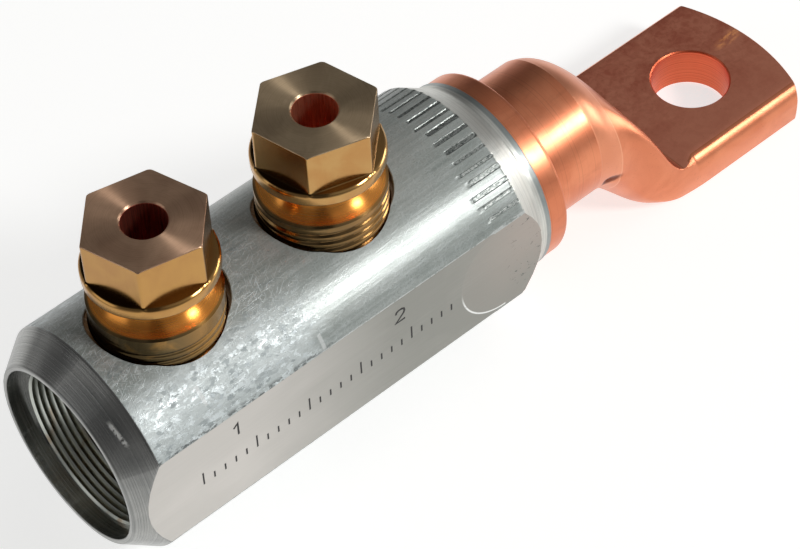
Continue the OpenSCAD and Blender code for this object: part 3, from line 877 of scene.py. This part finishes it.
def forgedCopper(looks, sizes):
    # a paler band next to the neck ends in a fine line, where the press took hold
    finish = startFinish("forged copper")
    here = finish.place()
    x, y, z = finish.split(here)
    cloud = finish.noise(here, 0.1, 4, 0.55, 0.8, 9.4)
    orange = finish.noise(here, 1.3, 3, 0.6, 0.2, 3.6)
    speck = finish.noise(here, 3.2, 2, 0.7, 0, 1.4)
    band = x.between(looks["bandTo"] + looks["bandEdge"], looks["bandTo"] - looks["bandEdge"])
    line = abs(x - looks["bandTo"]).between(looks["bandEdge"] * 2, looks["bandEdge"] * 0.5)
    colour = finish.blend(cloud.between(0.35, 0.68), looks["fresh"], looks["warm"])
    colour = finish.blend(speck.between(0.62, 0.74) * 0.3, colour, looks["brown"])
    colour = finish.blend(band * 0.2 | line * 0.5, colour, looks["pale"])
    # painted shade: the fold under the neck is darkened, the shade narrowing away from the neck
    foldY, foldZ = sizes["foldAt"]
    foldFrom, foldTo = sizes["foldFrom"], sizes["foldTo"]
    away = finish.length(0, y - foldY, z - foldZ) + orange * 0.5
    away = away - x.between(foldTo - 1, foldFrom) * sizes["foldHalf"]
    fold = away.between(1.2, 0.5) * x.between(foldFrom, foldFrom + 1) * x.between(foldTo, foldTo - 3)
    colour = finish.blend(fold, colour, looks["crease"])
    roughness = 0.27 + orange * 0.07 + cloud * 0.05 + band * 0.02
    return finish.metal(colour, roughness, finish.bump(orange * 0.35 + speck * 0.1 + band * 1.2, 0.02, 0.45))


def tarnishedCopper(looks):
    finish = startFinish("tarnished copper")
    here = finish.place()
    x, y, z = finish.split(here)
    cloud = finish.noise(here, 0.16, 5, 0.6, 0.8, 2.2)
    mottle = finish.noise(here, 0.9, 4, 0.65, 0.5, 8.1)
    speck = finish.noise(here, 3.5, 2, 0.7, 0, 6.6)
    grain = finish.noise(here, (4, 1.2, 4), 3, 0.6)
    along = (x - looks["smearAt"][0]) / looks["smearSize"][0]
    aside = (y - looks["smearAt"][1]) / looks["smearSize"][1]
    smear = finish.length(along, aside - along * 0.4, 0).between(1.0, 0.2)
    smear = smear * finish.noise(here, (0.5, 1.4, 1), 4, 0.7, 0.4, 5.0).between(0.4, 0.58)
    tarnish = cloud.between(0.35, 0.7) * 0.6 + mottle.between(0.4, 0.65) * 0.35
    tarnish = tarnish * (0.4 + y.between(*looks["darkAcross"]))
    colour = finish.blend(tarnish, looks["top"], looks["topDark"])
    colour = finish.blend(speck.between(0.64, 0.76) * 0.35, colour, looks["brown"])
    colour = finish.blend(smear * 0.8, colour, looks["smear"])
    roughness = 0.22 + mottle * 0.14 + cloud * 0.05 + smear * 0.12
    normal = finish.bump(mottle * 0.6 + grain * 0.3 + speck * 0.2, 0.02, 0.4)
    return finish.metal(colour, roughness, normal, metallic=1 - smear * 0.7)


def boredCopper(looks):
    finish = startFinish("bored copper")
    here = finish.place()
    x, y, z = finish.split(here)
    ring = finish.lines(z, 4, 3)
    cloud = finish.noise(here, 0.3, 3, 0.5, 0.4, 4.4)
    colour = finish.blend(ring.between(0.4, 0.7) * 0.6 + cloud * 0.2, looks["bored"], looks["boredDark"])
    return finish.metal(colour, 0.32 + ring * 0.15, finish.bump(ring, 0.03, 0.6))


def palmRegion(sizes):
    turned, forged, flat, hole = range(4)  # places in the list of finishes
    neckEnd = barrelLength + sizes["collarLength"] + sizes["neckLength"]

    def choose(centre, normal):
        x, y, z = centre.T
        upright = np.abs(normal[:, 2])
        region = np.full(len(centre), forged)
        region[x < neckEnd + 0.02] = turned
        region[(upright > 0.995) & (x > neckEnd + sizes["stepLength"] - 1)] = flat
        inHole = np.hypot(x - holeAlong, y) < sizes["holeRadius"] + 0.3
        region[inHole & (upright < 0.9)] = hole
        return region
    return choose


palmPiece = makePiece("palm_forging", *palmMesh(palmSizes))
cutAway(palmPiece, [holeCutter(palmSizes)])
dress(palmPiece, "lug", "palm", [
    turnedCopper(palmLooks), forgedCopper(palmLooks, palmSizes), tarnishedCopper(palmLooks),
    boredCopper(palmLooks)], palmRegion(palmSizes), sharpAngle=25)


# Brass shear bolts and their discs
boltSizes = {
    "hexWidth": 17.0, "hexHeight": 7.5, "hexTurn": (47, 43), "hexChamfer": 0.2, "hexEdge": 0.1,
    "cornerCut": 0.7, "sideColumns": 29, "footLine": (0.0, 0.1),
    "flangeRadius": 10.1, "flangeThick": 2.1, "flangeEdge": 0.4, "flangeGap": 0.12,
    "neckRadius": 7.2, "neckFoot": 9.6, "neckHeight": 4.7,
    "flareHeight": 2.3, "flareHollow": 25, "flareRows": 9, "flareLift": 0.02,
    "threadRadius": 10.0, "threadPitch": 1.5, "threadDepth": (0.2, 0.34), "threadRows": 12,
    "threadFade": (2.6, 0.9), "fadeHalf": 0.8, "crestShare": 0.3, "startSlope": 1.6, "endSlope": 0.8,
    "holeRadius": 3.4, "holeDepth": 12.0, "holeEdge": 0.3, "drillAngle": 59, "drillBack": 0.3,
    "socketRadius": 3.05, "socketWide": 3.6, "socketMouth": 1.6, "socketDepth": 3.0, "socketEdge": 0.15,
    "socketMiddle": 0.4,
}


def boltHeights(sizes):
    # the undersides of the hexagon and of the flange, and the top of the thread
    hexFoot = boltTop - sizes["hexHeight"]
    flangeFoot = hexFoot - sizes["flangeThick"]
    return hexFoot, flangeFoot, flangeFoot - sizes["neckHeight"]


def hexOutline(sizes, turnDegrees):
    # angle and reach of the hexagon's outline; a column just each side of a corner takes its edge off
    cut = sizes["cornerCut"]
    steps = sizes["sideColumns"]
    angles = []
    for index in range(6):
        corner = turnDegrees + 60 * index
        inside = [corner + 60 * step / (steps + 1) for step in range(1, steps + 1)]
        angles += [corner + cut] + inside + [corner + 60 - cut]
    angles = np.array(angles)
    fromFlat = (angles - turnDegrees) % 60 - 30
    return np.radians(angles), sizes["hexWidth"] / 2 / np.cos(np.radians(fromFlat))


def hollowFlare(sizes, threadTop):
    # a hollow curve from the shear neck out to the thread
    wide = sizes["neckFoot"] - sizes["neckRadius"]
    tall = sizes["flareHeight"]
    hollow = math.radians(sizes["flareHollow"])
    sag = math.hypot(wide, tall) * math.tan(hollow / 2) / 2
    lean = math.atan2(wide, tall)
    corners = []
    for share in np.linspace(0, 1, sizes["flareRows"]):
        dip = sag * 4 * share * (1 - share)
        height = threadTop + sizes["flareLift"] + tall * (1 - share) - dip * math.sin(lean)
        corners.append((height, sizes["neckRadius"] + wide * share - dip * math.cos(lean), 0))
    return corners


def headRows(sizes, reach, number):
    # out of the drilled hole, over the hexagon and the flange, and down the hollow neck
    top = boltTop
    hexFoot, flangeFoot, threadTop = boltHeights(sizes)
    edge = sizes["hexEdge"]
    flange = sizes["flangeRadius"]
    flangeEdge = np.minimum(sizes["flangeEdge"], flange - reach - sizes["flangeGap"])
    cornerReach = sizes["hexWidth"] / 2 / math.cos(math.radians(30))
    topReach = np.minimum(reach, cornerReach - sizes["hexChamfer"])
    sideTop = top - (reach - topReach) * math.tan(math.radians(30))
    hole = sizes["holeRadius"]
    holeFoot = top - sizes["holeDepth"]
    back = sizes["drillBack"]
    line = sizes["footLine"][number - 1]
    foot = [(hexFoot, reach, 0)]
    if line:
        foot = [(hexFoot + line * 1.5, reach, 0), (hexFoot, reach + line, line)]
    return profileRows([
        (holeFoot - (hole - back) / math.tan(math.radians(sizes["drillAngle"])), back, 0),
        (holeFoot, hole, 0.15), (top - sizes["holeEdge"], hole, 0.06), (top, hole + sizes["holeEdge"], 0.06),
        (top, mix(hole, topReach, 0.4), 0), (top, mix(hole, topReach, 0.75), 0),
        (top, topReach - edge, 0.05), (sideTop - edge, reach, 0.09), *foot,
        (hexFoot, flange - flangeEdge, 0.1), (hexFoot - flangeEdge, flange, 0.3), (flangeFoot, flange, 0.25),
        (flangeFoot, sizes["neckRadius"], 0.15), *hollowFlare(sizes, threadTop)])


def threadRows(sizes, angle, number):
    # the thread climbs to the right, and fades out at both ends
    threadTop = boltHeights(sizes)[2]
    fade = sizes["threadFade"][number - 1]
    depth = sizes["threadDepth"][number - 1]
    places = np.arange(threadTop, boltTip + 0.01, -sizes["threadPitch"] / sizes["threadRows"])
    phase = places[:, None] / sizes["threadPitch"] - angle[None, :] / (2 * math.pi)
    wave = np.abs(2 * (phase - np.floor(phase)) - 1)
    begun = smooth(unit(threadTop - places, fade - sizes["fadeHalf"], fade + sizes["fadeHalf"]))
    radius = sizes["threadRadius"] - smooth(unit(wave, sizes["crestShare"], 1.0)) * depth * begun[:, None]
    first = sizes["neckFoot"] + (threadTop - places) * sizes["startSlope"]
    last = sizes["threadRadius"] - depth + (places - boltTip) * sizes["endSlope"]
    radius = np.minimum(radius, np.minimum(first, last)[:, None])
    return np.stack([np.broadcast_to(places[:, None], radius.shape), radius], -1)


def socketRows(sizes, angle, number):
    # the flat tip, and the socket that takes the disc's bead
    rim = sizes["threadRadius"] - sizes["threadDepth"][number - 1]
    narrow = sizes["socketRadius"]
    wide = sizes["socketWide"]
    edge = sizes["socketEdge"]
    ledge = boltTip + sizes["socketMouth"]
    roof = boltTip + sizes["socketDepth"]
    return profileRows([
        (np.full(len(angle), boltTip), rim, 0), (boltTip, narrow + edge, 0), (boltTip + edge, narrow, 0),
        (ledge, narrow, 0), (ledge, wide, 0), (roof, wide, 0), (roof, sizes["socketMiddle"], 0)])


def boltMesh(sizes, along, number):
    angle, reach = hexOutline(sizes, sizes["hexTurn"][number - 1])
    rows = np.concatenate([
        headRows(sizes, reach, number), threadRows(sizes, angle, number), socketRows(sizes, angle, number)])
    drill = math.tan(math.radians(sizes["drillAngle"]))
    drillTip = boltTop - sizes["holeDepth"] - sizes["holeRadius"] / drill
    return uprightTurned(rows, angle, along, drillTip, boltTip + sizes["socketDepth"])


boltLooks = (
    {"top": tone(224, 184, 152), "topDark": tone(196, 156, 128), "bright": tone(188, 144, 84),
     "warm": tone(174, 128, 78), "cone": tone(236, 156, 72), "thread": tone(168, 126, 70),
     "threadShade": tone(96, 84, 60), "hole": tone(206, 112, 92), "holeDark": tone(150, 78, 64)},
    {"top": tone(208, 184, 150), "topDark": tone(180, 156, 126), "bright": tone(190, 150, 94),
     "warm": tone(180, 130, 76), "cone": tone(240, 160, 76), "thread": tone(176, 132, 78),
     "threadShade": tone(112, 92, 62), "hole": tone(248, 176, 140), "holeDark": tone(216, 128, 98)},
)
# painted shade on the bolts: on one side of the thread, and in the corner round the hexagon's foot
boltShade = {
    "threadShadeSide": (-0.93, -0.37), "threadShadeSpread": (0.1, 0.75), "cornerShade": tone(34, 26, 14),
    "cornerShadeSide": (-0.8, 0.6), "cornerShadeSpread": (-0.2, 0.3), "cornerShadeUp": (0.12, 0.03),
}


def facedBrass(number, looks):
    # top of the head: rings round the hole
    finish = startFinish("faced brass %d" % number)
    x, y, z = finish.split(finish.place(boltAlong[number - 1]))
    here = finish.place()
    radius = finish.length(x, y, 0)
    ring = finish.lines(radius, 5, 3)
    fine = finish.lines(radius, 20, 2)
    cloud = finish.noise(here, 0.2, 4, 0.6, 0.6, number * 3.7)
    worn = cloud.between(0.3, 0.7) * 0.7 + ring.between(0.45, 0.7) * 0.3
    colour = finish.blend(worn, looks["top"], looks["topDark"])
    roughness = 0.34 + fine * 0.06 + cloud * 0.04
    return finish.metal(colour, roughness, finish.bump(ring * 0.4 + fine * 0.2, 0.02, 0.4), turned=0.95)


def drawnBrass(number, looks):
    # sides of the hexagon: drawn bar, with a faint upright grain
    finish = startFinish("drawn brass %d" % number)
    here = finish.place()
    grain = finish.noise(here, (2.5, 2.5, 0.12), 4, 0.6, 0, number * 5.1)
    cloud = finish.noise(here, 0.2, 3, 0.5, 0.5, number * 2.3)
    colour = finish.blend(cloud.between(0.35, 0.7) * 0.6 + grain * 0.2, looks["bright"], looks["warm"])
    return finish.metal(colour, 0.17 + grain * 0.08, finish.bump(grain, 0.006, 0.4))


def turnedBrass(number, looks, wear):
    # flange, shear neck and thread
    finish = startFinish("turned brass %d" % number)
    here = finish.place(boltAlong[number - 1])
    x, y, z = finish.split(here)
    radius = finish.length(x, y, 0)
    ring = finish.lines(z + radius * 0.6, 7, 3)
    cloud = finish.noise(here, 0.25, 3, 0.5, 0.5, number * 4.9)
    hexFoot, flangeFoot, threadTop = boltHeights(boltSizes)
    colour = finish.blend(cloud.between(0.35, 0.7) * 0.6, looks["bright"], looks["warm"])
    colour = finish.blend(z.between(flangeFoot + 0.15, flangeFoot - 0.1), colour, looks["cone"])
    threaded = z.between(threadTop + 0.1, threadTop - 0.1)
    colour = finish.blend(threaded, colour, looks["thread"])
    # painted shade: the thread is darkened in patches on one side
    ahead, aside = wear["threadShadeSide"]
    oneSide = ((x * ahead + y * aside) / radius).between(*wear["threadShadeSpread"])
    threadShade = threaded * oneSide * cloud.between(0.2, 0.45)
    colour = finish.blend(threadShade * 0.85, colour, looks["threadShade"])
    # painted shade in the corner round the hexagon's foot, most of it on one side
    ahead, aside = wear["cornerShadeSide"]
    oneSide = ((x * ahead + y * aside) / radius).between(*wear["cornerShadeSpread"])
    cornerShade = z.between(*[hexFoot - below for below in wear["cornerShadeUp"]]) * (oneSide * 0.6 + 0.35)
    colour = finish.blend(cornerShade, colour, wear["cornerShade"])
    flare = z.between(threadTop - 0.1, threadTop + 0.1) * z.between(flangeFoot, flangeFoot - 0.2)
    roughness = 0.11 + ring * 0.08 + cloud * 0.05 + flare * 0.1
    return finish.metal(colour, roughness, finish.bump(ring, 0.012, 0.4), turned=0.8)


def drilledBrass(number, looks):
    finish = startFinish("drilled brass %d" % number)
    here = finish.place(boltAlong[number - 1])
    streak = finish.noise(here, (3, 3, 0.2), 4, 0.65, 0, number * 6.3)
    colour = finish.blend(streak.between(0.3, 0.7), looks["hole"], looks["holeDark"])
    return finish.metal(colour, 0.42 + streak * 0.15, finish.bump(streak, 0.03, 0.5))


def boltRegion(sizes, along):
    faced, drawn, turned, drilled = range(4)  # places in the list of finishes

    def choose(centre, normal):
        x, y, z = centre.T
        spread = np.hypot(x - along, y)
        region = np.full(len(centre), turned)
        region[(z > boltTop - 0.35) & (spread > sizes["holeRadius"] + 0.1)] = faced
        side = (z < boltTop - 0.1) & (z > boltTop - sizes["hexHeight"] + 0.05) & (spread > 6)
        region[side & (np.abs(normal[:, 2]) < 0.3)] = drawn
        region[(spread < sizes["holeRadius"] + 0.05) & (z > boltTip + 5)] = drilled
        return region
    return choose


discSizes = {
    "radius": 8.5, "thick": 1.6, "gap": 0.1, "stemRadius": 3.0, "stemLength": 1.8,
    "beadHeight": 1.2, "bead": 0.5, "edge": 0.2, "fineEdge": 0.1, "middle": 0.4, "columns": 96,
}
discLooks = {"bright": tone(222, 184, 118), "warm": tone(196, 150, 92)}


def discMesh(sizes, along):
    top = boltTip - sizes["gap"]
    foot = top - sizes["thick"]
    bead = top + sizes["stemLength"]
    beadTop = bead + sizes["beadHeight"]
    stem = sizes["stemRadius"]
    wide = stem + sizes["bead"]
    fine = sizes["fineEdge"]
    rows = profileRows([
        (foot, sizes["middle"], 0), (foot, sizes["radius"], sizes["edge"]), (top, sizes["radius"], fine),
        (top, stem, fine), (bead, stem, 0.06), (bead, wide, 0.15), (beadTop, wide, 0.3),
        (beadTop, sizes["middle"], 0)])
    turn = np.linspace(0, 2 * math.pi, sizes["columns"], endpoint=False)
    return uprightTurned(rows, turn, along, foot, beadTop)


def discBrass(number, looks):
    finish = startFinish("disc brass %d" % number)
    here = finish.place(boltAlong[number - 1])
    x, y, z = finish.split(here)
    radius = finish.length(x, y, 0)
    ring = finish.lines(radius, 6, 3)
    cloud = finish.noise(here, 0.3, 3, 0.5, 0.5, number * 1.7)
    colour = finish.blend(cloud.between(0.3, 0.7), looks["bright"], looks["warm"])
    return finish.metal(colour, 0.24 + ring * 0.14, finish.bump(ring, 0.02, 0.5))


for number in (1, 2):
    along = boltAlong[number - 1]
    looks = boltLooks[number - 1]
    boltPiece = makePiece("bolt_%d_turned" % number, *boltMesh(boltSizes, along, number))
    dress(boltPiece, "bolt_%d" % number, "shear_bolt_%d" % number, [
        facedBrass(number, looks), drawnBrass(number, looks), turnedBrass(number, looks, boltShade),
        drilledBrass(number, looks)], boltRegion(boltSizes, along), sharpAngle=40)
    discPiece = makePiece("disc_%d_turned" % number, *discMesh(discSizes, along))
    dress(discPiece, "disc_%d" % number, "pressure_disc_%d" % number, [
        discBrass(number, discLooks)])


# Printed numerals beside the bolts, and a plain gauge for the stripped length
inkSizes = {
    "film": 0.02, "stroke": 0.34, "numeralLow": 4.2, "numeralHeight": 2.5, "gaugeFrom": 12.0, "gaugeTo": 60.0,
    "gaugeStep": 2.0, "gaugeLow": -1.4, "shortTick": 1.3, "longTick": 2.6, "longEvery": 5, "tick": 0.28,
    "sharpest": 0.8,
}
inkLooks = {"black": tone(30, 28, 30), "worn": tone(70, 66, 66)}
numeralPaths = {
    1: [(-0.32, 0.72), (0.0, 1.0), (0.0, 0.0)],
    2: [(-0.34, 0.76), (-0.28, 0.92), (-0.1, 1.0), (0.12, 1.0), (0.3, 0.9), (0.34, 0.72), (0.26, 0.54),
        (-0.36, 0.0), (0.36, 0.0)],
}


def inkStroke(path, width):
    # one closed film along a path of (along, up) points on the flat
    path = np.array(path, float)
    ahead = np.diff(path, axis=0)
    ahead /= np.linalg.norm(ahead, axis=1, keepdims=True)
    side = np.stack([-ahead[:, 1], ahead[:, 0]], -1)
    bends = [side[0]]
    for before, after in zip(side, side[1:]):
        both = before + after
        bends.append(both * 2 / max(both @ both, inkSizes["sharpest"]))  # a sharp corner isn't drawn out
    bends.append(side[-1])
    bends = np.array(bends) * width / 2
    left, right = path + bends, path - bends
    outline = np.concatenate([left, right[::-1]])
    count = len(path)
    skins = []
    for lift in (0.0, inkSizes["film"]):
        skins.append(np.column_stack([outline[:, 0], np.full(2 * count, -flatHalf - lift), outline[:, 1]]))
    points = np.concatenate(skins)
    faces = []
    for layer in (0, 2 * count):
        for i in range(count - 1):
            faces.append([layer + i, layer + i + 1, layer + 2 * count - 2 - i, layer + 2 * count - 1 - i])
    for i in range(2 * count):
        j = (i + 1) % (2 * count)
        faces.append([i, j, 2 * count + j, 2 * count + i])
    return points, faces


def inkFilm(looks):
    finish = startFinish("printing ink")
    here = finish.place()
    wear = finish.noise(here, 2.4, 3, 0.65, 0.3, 5.5)
    colour = finish.blend(wear.between(0.5, 0.72) * 0.6, looks["black"], looks["worn"])
    return finish.metal(colour, 0.5 + wear * 0.2, finish.bump(wear, 0.004, 0.5), metallic=0)


def inkPiece(name, strokes, finish):
    points, faces = [], []
    for path, width in strokes:
        strokePoints, strokeFaces = inkStroke(path, width)
        start = sum(len(group) for group in points)
        points.append(strokePoints)
        faces += [[start + index for index in face] for face in strokeFaces]
    piece = makePiece(name, np.concatenate(points), faces)
    dress(piece, "lug", None, [finish])


ink = inkFilm(inkLooks)
for number, along in zip((1, 2), boltAlong):
    tall = inkSizes["numeralHeight"]
    path = [(along + x * tall, inkSizes["numeralLow"] + z * tall) for x, z in numeralPaths[number]]
    inkPiece("numeral_%d" % number, [(path, inkSizes["stroke"])], ink)
ticks = []
tickCount = int((inkSizes["gaugeTo"] - inkSizes["gaugeFrom"]) / inkSizes["gaugeStep"]) + 1
for index in range(tickCount):
    along = inkSizes["gaugeFrom"] + index * inkSizes["gaugeStep"]
    tall = inkSizes["shortTick"] if index % inkSizes["longEvery"] else inkSizes["longTick"]
    ticks.append(([(along, inkSizes["gaugeLow"]), (along, inkSizes["gaugeLow"] + tall)], inkSizes["tick"]))
inkPiece("strip_gauge", ticks, ink)


# Floor, light and camera
stageLooks = {  # metres
    "floor": tone(200, 200, 199), "floorGlow": tone(252, 252, 251), "floorLift": 0.71, "floorSize": 6.0,
    "floorFade": (0.12, 0.4), "floorGap": 0.0002,
    "horizon": 0.6, "horizonTop": 0.32, "dim": 0.16,
    "glow": 0.5, "glowFrom": (0.45, -0.35, 0.82), "glowSpread": (0.45, 0.95),
    "left": 1.15, "leftFrom": (-0.94, 0.34), "leftSpread": (0.92, 0.97), "leftUp": (0.57, 0.49),
    "shade": 0.08, "shadeFrom": (-0.63, -0.777), "shadeAhead": (0.0, 0.3), "shadeHalf": (0.22, 0.12),
    "shadeUp": (0.0, 0.08),
    "keyFrom": (0.41, -0.71, 0.57), "keyAway": 1.2, "keyWide": 0.3, "keyTall": 0.3, "keyRadiance": 28.0,
    "sideFrom": (0.95, -0.28, 0.13), "sideAway": 1.1, "sideWide": 0.55, "sideTall": 0.22, "sideRadiance": 7.0,
}


def makeFloor(looks):
    work = bmesh.new()
    bmesh.ops.create_grid(work, x_segments=8, y_segments=8, size=looks["floorSize"])
    mesh = bpy.data.meshes.new("floor")
    work.to_mesh(mesh)
    work.free()
    floor = bpy.data.objects.new("floor", mesh)
    bpy.context.scene.collection.objects.link(floor)
    floor.location.z = cadBounds[0].z - looks["floorGap"]
    # paler to the eye and in the metal than its light alone would make it, with the shadow kept
    finish = startFinish("pale floor")
    near, far = looks["floorFade"]  # the metal shows only the floor beside it as pale
    beside = finish.vector("LENGTH", finish.node("TexCoord", out="Object"), out="Value").between(far, near)
    camera, glossy, through = [
        finish.node("LightPath", out="Is %s Ray" % kind) for kind in ("Camera", "Glossy", "Transmission")]
    strength = (camera | glossy * beside | through) * looks["floorLift"]
    lift = finish.node("Emission", sockets={"Color": looks["floorGlow"], "Strength": strength})
    shade = finish.node("BsdfDiffuse", sockets={"Color": looks["floor"]})
    finish.node("OutputMaterial", sockets={"Surface": finish.node("AddShader", sockets={0: shade, 1: lift})})
    mesh.materials.append(finish.owner)


def makeWorld(looks):
    # dim overhead, with a soft glow above and to the right, and a pale horizon
    world = bpy.data.worlds.new("studio")
    bpy.context.scene.world = world
    world.use_nodes = True
    finish = Finish(world, world.node_tree)
    way = finish.node("TexCoord", out="Generated")
    x, y, z = finish.split(way)
    glowFrom = tuple(Vector(looks["glowFrom"]).normalized())
    toGlow = finish.vector("DOT_PRODUCT", way, glowFrom, out="Value")
    ahead, aside = looks["leftFrom"]
    toLeft = (x * ahead + y * aside) / (x * x + y * y + 0.001) ** 0.5
    sky = looks["dim"] + toGlow.between(*looks["glowSpread"]) * (looks["glow"] - looks["dim"])
    low = z.between(looks["horizonTop"], 0.0)
    level = sky * (1 - low) + low * looks["horizon"]
    # a low window at the left
    window = toLeft.between(*looks["leftSpread"]) * z.between(*looks["leftUp"])
    level = level + window * (looks["left"] - level)
    # a dark upright shade in front gives the metal something to show
    ahead, aside = looks["shadeFrom"]
    facing = (x * ahead + y * aside).between(*looks["shadeAhead"])
    shade = facing * abs(x * aside - y * ahead).between(*looks["shadeHalf"])
    level = level + shade * (looks["shade"] - level) * z.between(*looks["shadeUp"])
    finish.node("OutputWorld", sockets={"Surface": finish.node("Background", sockets={"Strength": level})})


def makeLamp(name, looks, target):
    # a soft lamp; its power follows from how bright its face is
    wide = looks[name + "Wide"]
    tall = looks[name + "Tall"]
    lamp = bpy.data.lights.new(name, "AREA")
    lamp.shape = "ELLIPSE"
    lamp.size = wide
    lamp.size_y = tall
    lamp.energy = looks[name + "Radiance"] * math.pi ** 2 * wide * tall / 4
    lampObject = bpy.data.objects.new(name, lamp)
    bpy.context.scene.collection.objects.link(lampObject)
    direction = Vector(looks[name + "From"]).normalized()
    lampObject.location = target + direction * looks[name + "Away"]
    lampObject.rotation_euler = direction.to_track_quat("Z", "Y").to_euler()
    lampObject.visible_camera = False


viewSizes = {  # the photograph's own viewpoint: metres, millimetres of lens, and degrees
    "place": (-0.250027, -0.228895, 0.347053), "sensor": 36, "lens": 128.69,
    "heading": 50.971, "downward": 48.955, "roll": -3.24,
}


def makeCamera(sizes):
    camera = bpy.data.cameras.new("camera")
    camera.sensor_width = sizes["sensor"]
    camera.sensor_fit = "HORIZONTAL"
    camera.lens = sizes["lens"]
    cameraObject = bpy.data.objects.new("camera", camera)
    bpy.context.scene.collection.objects.link(cameraObject)
    heading = Matrix.Rotation(math.radians(sizes["heading"] - 90), 4, "Z")
    tilt = Matrix.Rotation(math.radians(90 - sizes["downward"]), 4, "X")
    roll = Matrix.Rotation(math.radians(sizes["roll"]), 4, "Z")
    cameraObject.matrix_world = Matrix.Translation(sizes["place"]) @ heading @ tilt @ roll
    bpy.context.scene.camera = cameraObject


makeFloor(stageLooks)
makeWorld(stageLooks)
middle = (cadBounds[0] + cadBounds[1]) / 2
makeLamp("key", stageLooks, middle)
makeLamp("side", stageLooks, middle)
makeCamera(viewSizes)
bpy.context.scene.view_settings.view_transform = "Standard"
print("stage ready")
